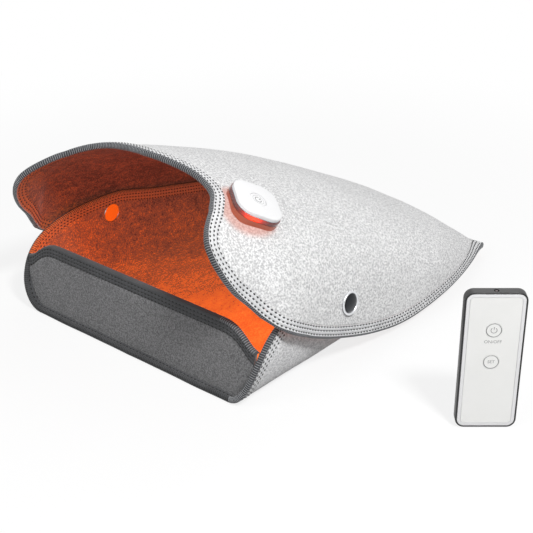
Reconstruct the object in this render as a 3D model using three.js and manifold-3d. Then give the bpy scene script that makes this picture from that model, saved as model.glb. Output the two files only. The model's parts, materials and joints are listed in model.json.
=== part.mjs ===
import * as THREE from 'three';
import { mergeVertices } from 'three/addons/utils/BufferGeometryUtils.js';
import Module from 'manifold-3d';

// Foldable felt foot warmer: a bound felt trough with a low front wall, an arched cover that
// folds at the rear and snaps to the outside of the trough's walls, heater films inside the felt,
// a small controller on the cover and a remote control that stands beside it.
// Millimetres, +Z up, front towards -Y. The origin is the middle of the trough's underside.

const wasm = await Module();
wasm.setup();

// Trough
const troughDepth = 440;
const footingWidth = 276;
const cornerWidth = 32;

// Cover
const coverHeight = 213;
const wingClearance = 5.4;

// Heights of what the cover closes over, in cover heights
const cornerHeightShare = 0.2817;
const wallCrestShare = 0.4225;
const snapHeightShare = 0.3122;
const frontWallShare = 0.3662;
const frontEndShare = 0.1455;

// Layers of the felt
const feltThickness = 2.4;
const filmThickness = 0.4;
const liningThickness = 2.0;
const layerGap = 0.3;

// Bound edges
const bindingWidth = 12;
const bindingThickness = 0.6;
const bindingStep = 1.5;

// Rear fold
const foldGap = 3.6;
const foldEndInset = 14;
const foldLeadWidth = 18;
const foldLeadPlace = 60;

// Front wall
const frontWallSetback = 6;
const frontWallLean = 7;
const frontBoardThickness = 1.4;

// Snap fasteners
const snapPlace = 134;
const snapCapRadius = 12.5;
const snapCapHeight = 2.4;
const snapCrownShare = 0.6;
const snapShoulderShare = 0.85;
const snapBackRadius = 9;
const snapBackThickness = 1.3;
const snapPostRadius = 1.8;
const snapBallRadius = 2.9;
const snapStudHeight = 1.7;
const snapFlangeRadius = 5.2;
const snapWall = 0.6;
const socketRadius = 6.4;
const socketHeight = 1.6;

// Controller on the cover
const controllerWidth = 51;
const controllerCorner = 17;
const controllerTurn = -35;
const controllerWall = 1.6;
const controllerFloor = 1.6;
const controllerPanHeight = 2.4;
const controllerSink = 4.5;
const lightRingHeight = 4.5;
const capHeight = 3.5;
const capTop = 1.4;
const capRound = 1.0;
const buttonRadius = 8.8;
const buttonFlange = 1.0;
const buttonTravel = 0.6;
const boardThickness = 1.2;
const switchWidth = 6;
const switchHeight = 2.6;
const switchPlungerRadius = 1.7;
const bossRadius = 3;
const bossHeight = 5.5;
const bossCap = 0.6;
const screwRadius = 1.3;
const screwHeadRadius = 2.6;
const screwHeadHeight = 1.2;
const screwSpread = 28;
const clampPlateWidth = 44;
const clampPlateDepth = 4.6;
const inletWidth = 9;
const inletHeight = 3.2;
const inletLength = 7.4;
const inletWall = 0.5;
const leadWidth = 6;
const leadThickness = 1;
const leadPlace = 9;
const lampWidth = 3.2;
const lampHeight = 1;
const receiverWidth = 5;
const receiverHeight = 3.4;

// Overheat cut-outs in pockets of the lining
const cutoutLength = 12;
const cutoutWidth = 6;
const cutoutThickness = 1.0;
const cutoutCorner = 1.5;

// Remote control
const remoteWidth = 56;
const remoteHeight = 140;
const remoteThickness = 10;
const remoteCorner = 8.5;
const remoteWall = 1.4;
const remoteLedge = 1.2;
const remoteFaceThickness = 1.8;
const remoteOverlayThickness = 0.3;
const remoteBorder = 3;
const remoteKeyRadius = 7;
const remoteKeyFlange = 0.5;
const remoteKeyLip = 1;
const remoteKeyTravel = 0.4;
const remotePowerKeyHeight = 102.5;
const remoteSetKeyHeight = 70;
const remoteBoardThickness = 1;
const remoteBoardMargin = 8;
const domeRadius = 4;
const domeHeight = 0.5;
const domeCrownShare = 0.6;
const standoffRadius = 2;
const standoffMargin = 10;
const cellRadius = 10;
const cellThickness = 2.5;
const cellPlace = -36;
const holderWall = 1.2;
const contactThickness = 0.2;
const doorRadius = 13.5;
const doorThickness = 1.2;
const doorSlotLength = 15;
const doorSlotWidth = 1.8;
const doorSlotDepth = 0.6;
const emitterRadius = 1.25;
const emitterLength = 7;
const remotePlaceX = 340.5;
const remotePlaceY = -89.4;
const remoteYaw = 40.6;

// Clearances, overruns and fineness
const slip = 0.3;
const overrun = 1;
const probe = 0.05;
const nearestStep = 2;
const nearestTries = 40;
const firstStepShare = 0.1;
const turnProbeShare = 0.001;
const turnStepShare = 0.05;
const turnReachShare = 0.995;
const edgeFineness = 12;
const coverRibs = 21;
const coverSteps = 6;
const troughEdgeSteps = 400;
const wallColumns = 12;
const wallColumnSpread = 1.3;
const frontRibs = 9;
const filmSideRibs = 5;
const filmInset = 20;
const sectionSteps = 120;
const foldSteps = 8;
const smallSides = 8;
const roundSides = 16;
const cornerSides = 3;

// Sizes that follow from the ones above
const cornerHeight = cornerHeightShare * coverHeight;
const wallCrestHeight = wallCrestShare * coverHeight;
const snapHeight = snapHeightShare * coverHeight;
const frontWallHeight = frontWallShare * coverHeight;
const frontEndHeight = frontEndShare * coverHeight;
const clothStack = layerDepths(filmThickness);
const frontStack = layerDepths(frontBoardThickness);
const stackThickness = clothStack.whole;
const troughHalfWidth = footingWidth / 2 + cornerWidth;
const coverHalfWidth = troughHalfWidth + wingClearance + stackThickness;
const frontY = -troughDepth / 2;
const rearY = troughDepth / 2;
const foldHeight = stackThickness + foldGap / 2;
const quarter = Math.PI / 2;

// Trough's section beyond its flat floor: points by the length reached, past its widest place
const sectionTurnShare = 1.5;
const sectionTurn = sectionTurnShare * quarter;
const troughSection = [{ length: 0, x: 0, z: 0 }];
for (let i = 1; i <= sectionSteps; i += 1) {
  const turn = sectionTurn * i / sectionSteps;
  const x = cornerWidth * Math.sin(turn);
  const z = cornerHeight * (1 - Math.cos(turn));
  const before = troughSection[i - 1];
  troughSection.push({ length: before.length + Math.hypot(x - before.x, z - before.z), x, z });
}

// Fan of the cover's ribs on the rear line: turn of the outermost, and how they spread to it
const rearTurnShare = 0.5;
const rearSpreadShare = 1.5;

// Free edge of a trough wall from the front to the rear fold: height of the wall's crest, depth
const wallEdgeShares = [
  [0.00, 0.000], [0.11, 0.000], [0.29, 0.006], [0.44, 0.017], [0.59, 0.033], [0.72, 0.055],
  [0.82, 0.083], [0.92, 0.130], [0.985, 0.200], [1.00, 0.273], [0.97, 0.335], [0.84, 0.400],
  [0.71, 0.480], [0.59, 0.580], [0.46, 0.680], [0.32, 0.760], [0.19, 0.830], [0.08, 0.900],
  [0.02, 0.960], [0.00, 1.000],
];

// Cover sections by depth: crest and hem in cover heights, half width and flare in half widths
const crestShares = [
  [-0.05, 1.000], [0.086, 0.990], [0.168, 0.937], [0.270, 0.864], [0.382, 0.784],
  [0.498, 0.693], [0.623, 0.575], [0.759, 0.441], [0.880, 0.310], [0.955, 0.190], [1.000, 0.0676],
];
const hemShares = [
  [-0.05, 0.258], [0.034, 0.258], [0.068, 0.268], [0.102, 0.282], [0.136, 0.287], [0.170, 0.250],
  [0.205, 0.216], [0.273, 0.157], [0.341, 0.109], [0.409, 0.073], [0.477, 0.049], [0.545, 0.042],
  [0.614, 0.050], [0.682, 0.062], [0.750, 0.069], [0.818, 0.074], [0.886, 0.070], [0.955, 0.068],
  [1.000, 0.0676],
];
const halfWidthShares = [
  [-0.05, 0.872], [0.045, 0.872], [0.068, 0.905], [0.091, 0.950], [0.136, 0.992], [0.205, 1.000],
  [0.273, 1.000], [0.409, 1.014], [0.545, 1.028], [0.682, 1.024], [0.750, 0.997], [0.818, 0.943],
  [0.886, 0.863], [0.955, 0.773], [1.000, 0.712],
];
const roundnessShares = [
  [-0.05, 3.5], [0.034, 3.5], [0.057, 3.2], [0.095, 2.65], [0.136, 2.45], [0.205, 2.7],
  [0.273, 3.0], [0.455, 3.1], [0.636, 3.0], [0.818, 2.7], [0.909, 2.5], [1.000, 2.5],
];
const flareShares = [
  [-0.05, 0.015], [0.000, 0.016], [0.016, 0.028], [0.045, 0.080], [0.068, 0.090], [0.084, 0.075],
  [0.102, 0.050], [0.136, 0.010], [0.170, 0.000], [0.682, 0.000], [0.750, 0.008], [0.818, 0.030],
  [0.886, 0.062], [0.955, 0.095], [1.000, 0.120],
];

// Free edge of half the cover from its rear tip to the mouth's middle: turn, depth
const coverEdgeShares = [
  [1.000, 1.000], [1.000, 0.900], [1.000, 0.760], [1.000, 0.620], [1.000, 0.480], [1.000, 0.340],
  [1.000, 0.220], [1.000, 0.160], [0.978, 0.118], [0.949, 0.102], [0.923, 0.084], [0.897, 0.068],
  [0.845, 0.045], [0.812, 0.032], [0.770, 0.016], [0.708, -0.009], [0.648, -0.025],
  [0.587, -0.034], [0.534, -0.036], [0.481, -0.030], [0.429, -0.009], [0.388, 0.020],
  [0.352, 0.050], [0.310, 0.077], [0.250, 0.093], [0.180, 0.098], [0.100, 0.095], [0.000, 0.086],
];

// Upper edge of half the front wall, from the middle to its end: half width, height
const frontTopShares = [
  [0.00, 1.00], [0.70, 1.00], [0.78, 0.99], [0.84, 0.945], [0.90, 0.86], [0.95, 0.775], [1.00, 0.73],
];

// Controller's and snaps' places on the cover
const controllerTurnShare = 0.408;
const controllerDepthShare = 0.14;
const snapTurnShare = 0.85;

const shades = {
  felt: { color: 0xdcdcdc, roughness: 0.95, metalness: 0 },
  frontFelt: { color: 0x6b6b6b, roughness: 0.95, metalness: 0 },
  lining: { color: 0xc8552a, roughness: 1, metalness: 0 },
  film: { color: 0x3a3a3a, roughness: 0.6, metalness: 0 },
  binding: { color: 0x4a4a4a, roughness: 0.9, metalness: 0 },
  board: { color: 0xd8d2c4, roughness: 0.8, metalness: 0 },
  chrome: { color: 0xc8c8c8, roughness: 0.15, metalness: 1 },
  glowDisc: { color: 0xff7a1e, roughness: 0.5, metalness: 0 },
  white: { color: 0xf4f4f4, roughness: 0.35, metalness: 0 },
  smoke: { color: 0x2a2022, roughness: 0.3, metalness: 0 },
  lens: { color: 0xff4020, roughness: 0.25, metalness: 0 },
  circuit: { color: 0x1f6b3a, roughness: 0.6, metalness: 0 },
  black: { color: 0x151515, roughness: 0.4, metalness: 0 },
  steel: { color: 0xb4b4b4, roughness: 0.35, metalness: 1 },
  grey: { color: 0xe6e6e4, roughness: 0.4, metalness: 0 },
};

const product = new THREE.Group();

// Adds one named piece in its own material
function addPiece(parent, name, geometry, shade) {
  const mesh = new THREE.Mesh(geometry, new THREE.MeshStandardMaterial(shades[shade]));
  mesh.name = name;
  parent.add(mesh);
  return mesh;
}

// Value of a table at a place, on a smooth curve through its entries
function follow(table, place) {
  const last = table.length - 1;
  const inside = Math.min(Math.max(place, table[0][0]), table[last][0]);
  let i = 0;
  while (i < last - 1 && inside > table[i + 1][0]) i += 1;
  const slope = (k) => {
    const low = table[Math.max(k - 1, 0)];
    const high = table[Math.min(k + 1, last)];
    return (high[1] - low[1]) / (high[0] - low[0]);
  };
  const run = table[i + 1][0] - table[i][0];
  const t = (inside - table[i][0]) / run;
  const blend = t * t * (3 - 2 * t);
  return table[i][1] * (1 - blend) + table[i + 1][1] * blend
    + run * (slope(i) * t * (1 - t) ** 2 - slope(i + 1) * t * t * (1 - t));
}

const depthAt = (share) => (share - 0.5) * troughDepth;
const depthShare = (y) => y / troughDepth + 0.5;

// Outside of the trough, by the distance across its flat cloth and the place along it
function troughPoint(across, y) {
  const side = Math.sign(across);
  const beyond = Math.max(0, Math.abs(across) - footingWidth / 2);
  const i = Math.max(1, troughSection.findIndex(({ length }) => length >= beyond));
  const [low, high] = [troughSection[i - 1], troughSection[i]];
  const share = (beyond - low.length) / (high.length - low.length);
  const flat = Math.min(Math.abs(across), footingWidth / 2);
  const { lerp } = THREE.MathUtils;
  return new THREE.Vector3(
    side * (flat + lerp(low.x, high.x, share)), y, lerp(low.z, high.z, share));
}

// Distance across the trough's cloth where its section has turned by an angle
function acrossAtTurn(turn) {
  const place = Math.min(turn / sectionTurn, 1) * sectionSteps;
  const low = Math.min(Math.floor(place), sectionSteps - 1);
  return footingWidth / 2 + THREE.MathUtils.lerp(
    troughSection[low].length, troughSection[low + 1].length, place - low);
}

// Distance across the trough's cloth at a height of its wall
const acrossAtHeight = (height) => acrossAtTurn(Math.acos(1 - height / cornerHeight));

// Outside of the cover: a full-shouldered section, from the crest (0) to the hem (1 or -1)
function coverPoint(turn, y) {
  const depth = depthShare(y);
  const drop = Math.cos(Math.min(Math.abs(turn), 1) * quarter);
  const hem = follow(hemShares, depth) * coverHeight;
  const crest = follow(crestShares, depth) * coverHeight;
  const half = follow(halfWidthShares, depth) * coverHalfWidth;
  const reach = half * Math.sqrt(1 - drop ** follow(roundnessShares, depth))
    + follow(flareShares, depth) * coverHalfWidth * (1 - drop) ** 2;
  return new THREE.Vector3(Math.sign(turn) * reach, y, hem + (crest - hem) * drop);
}

// How a surface runs at a place: its point, its two directions and its outward normal
function surfaceAt(surface, place) {
  const { point, across, outward } = surface;
  const limit = surface.limit ?? Infinity;
  const low = Math.max(place.x - across, -limit);
  const high = Math.min(place.x + across, limit);
  const alongX = point(high, place.y).sub(point(low, place.y)).divideScalar(high - low);
  const alongY = point(place.x, place.y + probe).sub(point(place.x, place.y - probe))
    .divideScalar(2 * probe);
  const position = point(place.x, place.y);
  const normal = alongX.clone().cross(alongY).normalize();
  if (normal.dot(outward(position)) < 0) normal.negate();
  return { position, alongX, alongY, normal };
}

const trough = {
  point: troughPoint,
  across: probe,
  stride: bindingWidth,
  reach: footingWidth,
  outward: (p) => new THREE.Vector3(p.x / troughHalfWidth, 0, p.z / cornerHeight - 1),
};
const cover = {
  point: coverPoint,
  across: turnProbeShare,
  limit: 1,
  stride: turnStepShare,
  reach: turnReachShare,
  outward: (p) => new THREE.Vector3(p.x / coverHalfWidth, 0, p.z / coverHeight),
};

// Places at even steps along the edge that runs through the control places
function evenPlaces(surface, controls, count) {
  const curve = new THREE.CatmullRomCurve3(
    controls.map((c) => new THREE.Vector3(c.x / surface.reach, depthShare(c.y), 0)),
    false, 'centripetal');
  const fine = curve.getPoints(controls.length * edgeFineness)
    .map((c) => new THREE.Vector2(c.x * surface.reach, depthAt(c.y)));
  const reached = [0];
  for (let i = 1; i < fine.length; i += 1) {
    const step = surface.point(fine[i].x, fine[i].y)
      .distanceTo(surface.point(fine[i - 1].x, fine[i - 1].y));
    reached.push(reached[i - 1] + step);
  }
  const total = reached[reached.length - 1];
  const places = [];
  for (let i = 0, k = 0; i <= count; i += 1) {
    const goal = total * i / count;
    while (k < fine.length - 2 && reached[k + 1] < goal) k += 1;
    const part = (goal - reached[k]) / (reached[k + 1] - reached[k]);
    places.push(fine[k].clone().lerp(fine[k + 1], Math.min(part, 1)));
  }
  return places;
}

// Moves a place over a surface, by a real distance in a real direction
function moveOver(surface, place, direction) {
  const { alongX, alongY } = surfaceAt(surface, place);
  const a = alongX.dot(alongX);
  const b = alongX.dot(alongY);
  const c = alongY.dot(alongY);
  const p = alongX.dot(direction);
  const q = alongY.dot(direction);
  const scale = a * c - b * b;
  return new THREE.Vector2(place.x + (p * c - q * b) / scale, place.y + (q * a - p * b) / scale);
}

// Ribs of places from the rear line to the free edge, closer at both ends, with the band's two
// places last
function ribPlaces(surface, rear, edge, steps) {
  const spacing = (share) => (1 - Math.cos(2 * quarter * share)) / 2;
  const last = edge.length - 1;
  return edge.map((place, k) => {
    const here = surfaceAt(surface, place);
    const before = surface.point(edge[Math.max(k - 1, 0)].x, edge[Math.max(k - 1, 0)].y);
    const after = surface.point(edge[Math.min(k + 1, last)].x, edge[Math.min(k + 1, last)].y);
    const toRear = surface.point(rear[k].x, rear[k].y).sub(here.position).normalize();
    const inward = here.normal.clone().cross(after.sub(before)).normalize();
    if (inward.dot(toRear) < 0) inward.negate();
    if (k === 0 || k === last) inward.copy(toRear);
    const inset = (width) => {
      const target = here.position.clone().addScaledVector(inward, width);
      const moved = nearestPlace(surface, place.clone().lerp(rear[k], firstStepShare), target);
      if (k === 0 || k === last) moved.y = place.y;
      moved.y = Math.min(moved.y, rearY);
      return moved;
    };
    const start = inset(bindingWidth + bindingStep);
    const rib = [];
    for (let i = 0; i < steps; i += 1) rib.push(rear[k].clone().lerp(start, spacing(i / steps)));
    return [...rib, start, inset(bindingWidth), place];
  });
}

// Point of a sheet at a place of its surface, upright at the rear line
function framed(surface, place, inBand = false) {
  const { position, normal } = surfaceAt(surface, place);
  if (place.y > rearY - probe) normal.set(0, 0, Math.sign(normal.z));
  return { place, position, normal, inBand };
}

// Turns ribs of places into ribs of points, the last two of each in the bound band
function ribFrames(surface, ribs) {
  return ribs.map((rib) => rib.map((place, j) => framed(surface, place, j > rib.length - 3)));
}

// Sheet through ribs of points, its left half split into faces as its right half's mirror
function gridSheet(frames) {
  const columns = frames[0].length;
  const faces = [];
  for (let i = 0; i < frames.length - 1; i += 1) {
    for (let j = 0; j < columns - 1; j += 1) {
      const here = i * columns + j;
      const next = here + columns;
      if (i < (frames.length - 1) / 2) {
        faces.push([here, next, next + 1], [here, next + 1, here + 1]);
      } else {
        faces.push([here, next, here + 1], [next, next + 1, here + 1]);
      }
    }
  }
  return { points: frames.flat(), faces };
}

// Closed body between two depths below a sheet
function clothLayer({ points, faces }, topDepth, bottomDepth) {
  const count = points.length;
  const sink = (depthOf) => points.flatMap(({ position, normal, inBand }) => (
    position.clone().addScaledVector(normal, -depthOf(inBand)).toArray()));
  const open = new Map();
  for (const [a, b, c] of faces) {
    for (const [from, to] of [[a, b], [b, c], [c, a]]) {
      if (!open.delete(`${to} ${from}`)) open.set(`${from} ${to}`, [from, to]);
    }
  }
  const index = faces.flatMap(([a, b, c]) => [a, b, c, a + count, c + count, b + count]);
  for (const [from, to] of open.values()) {
    index.push(to, from, from + count, to, from + count, to + count);
  }
  return facingOut([...sink(topDepth), ...sink(bottomDepth)], index);
}

// Indexed geometry whose faces point out of its body
function facingOut(positions, index) {
  const geometry = new THREE.BufferGeometry();
  geometry.setAttribute('position', new THREE.Float32BufferAttribute(positions, 3));
  const at = (i) => new THREE.Vector3().fromArray(positions, 3 * i);
  let volume = 0;
  for (let i = 0; i < index.length; i += 3) {
    volume += at(index[i]).dot(at(index[i + 1]).cross(at(index[i + 2])));
  }
  const turned = index.slice();
  if (volume < 0) {
    for (let i = 0; i < index.length; i += 3) [turned[i], turned[i + 1]] = [index[i + 1], index[i]];
  }
  geometry.setIndex(turned);
  geometry.computeVertexNormals();
  return geometry;
}

// Depths of felt, a middle layer and lining, pressed together where the binding grips them
function layerDepths(middleThickness) {
  const grip = bindingThickness + layerGap;
  const middle = feltThickness + layerGap;
  const lining = middle + middleThickness + layerGap;
  const whole = lining + liningThickness;
  return {
    whole,
    grip,
    middle,
    lining,
    feltTop: (inBand) => (inBand ? grip : 0),
    feltBottom: (inBand) => (inBand ? (whole - layerGap) / 2 : feltThickness),
    middleTop: () => middle,
    middleBottom: () => middle + middleThickness,
    liningTop: (inBand) => (inBand ? (whole + layerGap) / 2 : lining),
    liningBottom: (inBand) => whole - (inBand ? grip : 0),
  };
}

// Folded strip that grips the free edge of a stack of layers, with room to spare inside if asked
function edgeBinding(frames, stack, spare = 0) {
  const thickness = bindingThickness + spare;
  const beyond = layerGap - spare;
  const profiles = frames.map((rib) => {
    const edge = rib[rib.length - 1];
    const inset = rib[rib.length - 2];
    const out = edge.position.clone().sub(inset.position).normalize();
    const at = (from, distance, depth) => from.position.clone()
      .addScaledVector(out, distance).addScaledVector(from.normal, -depth);
    const low = stack.whole - thickness;
    const third = (low - thickness) / 3;
    return [
      at(inset, beyond, -spare),
      at(edge, layerGap, -spare),
      at(edge, stack.grip + spare, thickness),
      at(edge, stack.grip + spare, low),
      at(edge, layerGap, stack.whole + spare),
      at(inset, beyond, stack.whole + spare),
      at(inset, beyond, low),
      at(edge, beyond, low),
      at(edge, beyond, low - third),
      at(edge, beyond, low - 2 * third),
      at(edge, beyond, thickness),
      at(inset, beyond, thickness),
    ];
  });
  const half = (profiles.length - 1) / 2;
  return sweptProfile(profiles, (i, side) => (i < half ? [4, 10] : [0, 6]).includes(side));
}

// Closed body through a run of closed profiles, capped at both ends; where a side is crossed its
// faces are split the other way
function sweptProfile(profiles, isCrossed = () => false) {
  const sides = profiles[0].length;
  const positions = profiles.flatMap((profile) => profile.flatMap((p) => p.toArray()));
  const index = [];
  for (let i = 0; i < profiles.length - 1; i += 1) {
    for (let j = 0; j < sides; j += 1) {
      const next = (j + 1) % sides;
      const here = i * sides;
      const there = here + sides;
      const [near, far] = isCrossed(i, j) ? [here + next, there + j] : [here + j, there + next];
      index.push(here + j, here + next, far, near, there + next, there + j);
    }
  }
  const lastRow = (profiles.length - 1) * sides;
  for (const [row, from, to] of [[0, 0, 1], [lastRow, 1, 0]]) {
    for (let j = 0; j < sides / 2 - 1; j += 1) {
      const ring = [row + j, row + j + 1, row + sides - 2 - j, row + sides - 1 - j];
      const first = [ring[0], ring[3], ring[2]];
      const second = [ring[0], ring[2], ring[1]];
      for (const face of [first, second]) index.push(face[0], face[1 + from], face[1 + to]);
    }
  }
  return facingOut(positions, index);
}

// Solid of a closed geometry, for cuts
function solidOf(geometry) {
  const bare = geometry.clone();
  bare.deleteAttribute('normal');
  bare.deleteAttribute('uv');
  const welded = mergeVertices(bare);
  return new wasm.Manifold(new wasm.Mesh({
    numProp: 3,
    vertProperties: new Float32Array(welded.attributes.position.array),
    triVerts: new Uint32Array(welded.index.array),
  }));
}

// Geometry of a solid
function geometryOf(solid) {
  const mesh = solid.getMesh();
  const geometry = new THREE.BufferGeometry();
  const positions = [];
  for (let i = 0; i < mesh.numVert; i += 1) {
    for (let k = 0; k < 3; k += 1) positions.push(mesh.vertProperties[i * mesh.numProp + k]);
  }
  geometry.setAttribute('position', new THREE.Float32BufferAttribute(positions, 3));
  geometry.setIndex(Array.from(mesh.triVerts));
  geometry.computeVertexNormals();
  return geometry;
}

// Cuts tools out of a body
function cut(geometry, tools) {
  let solid = solidOf(geometry);
  for (const tool of tools) solid = solid.subtract(solidOf(tool));
  return geometryOf(solid);
}

// Joins bodies into one
function joined(geometries) {
  return geometryOf(geometries.map(solidOf).reduce((whole, part) => whole.add(part)));
}

// Disc or ring around Z, from a profile of radius and height
function turned(profile, sides = roundSides) {
  return new THREE.LatheGeometry(profile.map(([r, z]) => new THREE.Vector2(r, z)), sides)
    .rotateX(quarter);
}

// Plain round bar along Z between two heights
function bar(radius, low, high, sides = smallSides) {
  return turned([[0, low], [radius, low], [radius, high], [0, high]], sides);
}

// Outline with round corners, centred on the origin
function roundedOutline(width, height, corner) {
  const outline = new THREE.Shape();
  const x = width / 2;
  const y = height / 2;
  outline.moveTo(x, -y + corner);
  outline.lineTo(x, y - corner);
  outline.absarc(x - corner, y - corner, corner, 0, quarter);
  outline.lineTo(-x + corner, y);
  outline.absarc(-x + corner, y - corner, corner, quarter, 2 * quarter);
  outline.lineTo(-x, -y + corner);
  outline.absarc(-x + corner, -y + corner, corner, 2 * quarter, 3 * quarter);
  outline.lineTo(x - corner, -y);
  outline.absarc(x - corner, -y + corner, corner, 3 * quarter, 4 * quarter);
  return outline;
}

// Upright plate of a rounded outline between two heights
function plate(width, height, corner, low, high) {
  return new THREE.ExtrudeGeometry(roundedOutline(width, height, corner), {
    depth: high - low, bevelEnabled: false, curveSegments: cornerSides,
  }).translate(0, 0, low);
}

// Block between two corners
function block(low, high) {
  const size = high.map((value, k) => value - low[k]);
  const middle = high.map((value, k) => (value + low[k]) / 2);
  return new THREE.BoxGeometry(...size).translate(...middle);
}

const mirrored = (place) => new THREE.Vector2(-place.x, place.y);

// Trough, with straight columns along it; its bound edge, grown if asked, as ribs from the right
// rear tip round the front to the left rear tip
function makeTrough(growth = 0) {
  const tip = footingWidth / 2;
  const wall = wallEdgeShares.map(([height, depth]) => (
    new THREE.Vector3(acrossAtHeight(height * wallCrestHeight), depthAt(depth), 0)));
  const line = new THREE.CatmullRomCurve3(
    [new THREE.Vector3(0, frontY, 0), new THREE.Vector3(tip / 2, frontY, 0), ...wall],
    false, 'centripetal').getPoints(troughEdgeSteps);
  const last = line.length - 1;
  const inward = line.map((p, i) => {
    const along = line[Math.min(i + 1, last)].clone().sub(line[Math.max(i - 1, 0)]).normalize();
    return i === last ? new THREE.Vector3(-1, 0, 0) : new THREE.Vector3(-along.y, along.x, 0);
  });
  const runAt = (distance) => line.map((p, i) => p.clone().addScaledVector(inward[i], distance));
  const crossing = (run, across, atRear) => {
    const passes = (i) => (atRear
      ? run[i].x >= across && run[i + 1].x < across : run[i].x <= across && run[i + 1].x > across);
    let i = atRear ? last - 1 : 0;
    while (!passes(i) && (atRear ? i > 0 : i < last - 1)) i += atRear ? -1 : 1;
    return i + (across - run[i].x) / (run[i + 1].x - run[i].x);
  };
  const placeOn = (run, at) => {
    const i = Math.min(Math.floor(at), last - 1);
    const p = run[i].clone().lerp(run[i + 1], at - i);
    return new THREE.Vector2(p.x, Math.min(p.y, rearY));
  };

  const runs = [bindingWidth + bindingStep, bindingWidth, -growth].map(runAt);
  const [starts] = runs;
  const crest = starts.reduce((best, p, i) => (p.x > starts[best].x ? i : best), 0);
  const widest = Math.acos(1 - troughPoint(starts[crest].x, 0).z / cornerHeight);
  const rearEnd = starts[last].x;
  const columns = [0, rearEnd / 2, rearEnd, tip];
  for (let j = 1; j < wallColumns; j += 1) {
    columns.push(acrossAtTurn(widest * (1 - (1 - j / wallColumns) ** wallColumnSpread)));
  }
  const rearColumns = columns.slice(3).map((across) => crossing(starts, across, true));
  const frontColumns = columns.map((across) => crossing(starts, across, false)).reverse();
  const right = [last, ...rearColumns, crest, ...frontColumns]
    .map((at) => runs.map((run) => placeOn(run, at)));
  right[right.length - 1].forEach((place) => place.setX(0));
  const ring = [...right, ...right.slice(0, -1).map((rib) => rib.map(mirrored)).reverse()];
  const ribs = ribFrames(trough, ring);

  const rearLine = [0, rearEnd / 2, -rearEnd / 2]
    .map((across) => framed(trough, new THREE.Vector2(across, rearY)));
  const sheet = gridSheet(ribs);
  const perRib = runs.length;
  const beyond = sheet.points.length;
  sheet.points.push(...rearLine);
  for (const side of [0, 1]) {
    const at = (k) => perRib * (side ? ring.length - 1 - k : k);
    const rear = (c) => {
      if (c > 1) return at(c - 2);
      return beyond + (c === 0 ? 0 : 1 + side);
    };
    const front = (c) => at(right.length - 1 - c);
    for (let c = 0; c < columns.length; c += 1) {
      const faces = c < columns.length - 1
        ? [[front(c), front(c + 1), rear(c + 1)], [front(c), rear(c + 1), rear(c)]]
        : [[front(c), at(rearColumns.length + 1), rear(c)]];
      sheet.faces.push(...faces.map(([p, q, t]) => (side ? [q, p, t] : [p, q, t])));
    }
  }
  const filmColumns = columns.slice(0, -2).map((across, c) => {
    const front = placeOn(starts, frontColumns[columns.length - 1 - c]).y + filmInset;
    const rear = c < 2 ? rearY : placeOn(starts, c > 2 ? rearColumns[c - 3] : last).y - filmInset;
    return [new THREE.Vector2(across, rear), new THREE.Vector2(across, front)];
  });
  const middle = gridSheet([...filmColumns.slice(1).map((rib) => rib.map(mirrored)).reverse(),
    ...filmColumns].map((rib) => rib.map((place) => framed(trough, place))));
  return { ribs, sheet, middle };
}

// Cover, from its right rear tip round the mouth to its left rear tip
function makeCover() {
  const controls = coverEdgeShares.map(([turn, depth]) => new THREE.Vector2(turn, depthAt(depth)));
  const half = evenPlaces(cover, controls, coverRibs - 1);
  half.splice(1, 0, half[0].clone().add(half[1]).divideScalar(2));
  const edge = [...half, ...half.slice(0, -1).map(mirrored).reverse()];
  const rear = edge.map((place, k) => {
    const fromTip = Math.min(k, edge.length - 1 - k) / coverRibs;
    const turn = rearTurnShare * (1 - fromTip ** rearSpreadShare) * Math.sign(coverRibs - k);
    return new THREE.Vector2(turn, rearY);
  });
  return ribFrames(cover, ribPlaces(cover, rear, edge, coverSteps));
}

// Part of a sheet's ribs for a middle layer, clear of the edge and of the first and last ribs
function middleSheet(frames, sideRibs, edgeRows) {
  return gridSheet(frames.slice(sideRibs, frames.length - sideRibs)
    .map((rib) => rib.slice(0, -edgeRows)));
}

// Front wall, from its right end to its left end, each rib from the trough's inside to the top
function makeFrontWall() {
  const lift = stackThickness - overrun;
  const topReach = troughHalfWidth - stackThickness - slip - frontStack.grip;
  const frames = [];
  for (let k = -frontRibs; k <= frontRibs; k += 1) {
    const reach = -k / frontRibs;
    const foot = surfaceAt(trough, new THREE.Vector2(reach * acrossAtHeight(frontEndHeight), 0));
    const low = foot.position.addScaledVector(foot.normal, -lift);
    const high = new THREE.Vector3(
      reach * topReach, 0, follow(frontTopShares, Math.abs(reach)) * frontWallHeight);
    const band = bindingWidth / low.distanceTo(high);
    const step = bindingStep / low.distanceTo(high);
    frames.push([0, 1 - band - step, 1 - band, 1].map((share, j) => ({
      position: low.clone().lerp(high, share),
      normal: new THREE.Vector3(0, -1, 0),
      inBand: j > 1,
    })));
  }
  return frames;
}

// Group that stands on a surface at a place, its Z out of the surface
function standingOn(surface, place, turnAngle = 0) {
  const { position, normal } = surfaceAt(surface, place);
  const group = new THREE.Group();
  const side = new THREE.Vector3(0, 1, 0).cross(normal).normalize();
  const along = normal.clone().cross(side);
  group.matrix.makeBasis(side, along, normal).setPosition(position);
  group.matrix.multiply(new THREE.Matrix4().makeRotationZ(THREE.MathUtils.degToRad(turnAngle)));
  group.matrix.decompose(group.position, group.quaternion, group.scale);
  product.add(group);
  return group;
}

// Group that stands on the made cloth of a surface
function seatedOn(surface, place) {
  const group = standingOn(surface, place);
  const normal = new THREE.Vector3().setFromMatrixColumn(group.matrix, 2);
  const above = group.position.clone().addScaledVector(normal, bindingWidth);
  const ray = new THREE.Raycaster(above, normal.negate(), 0, 2 * bindingWidth);
  group.position.copy(ray.intersectObject(surface.skin)[0].point);
  group.updateMatrix();
  return group;
}

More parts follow.
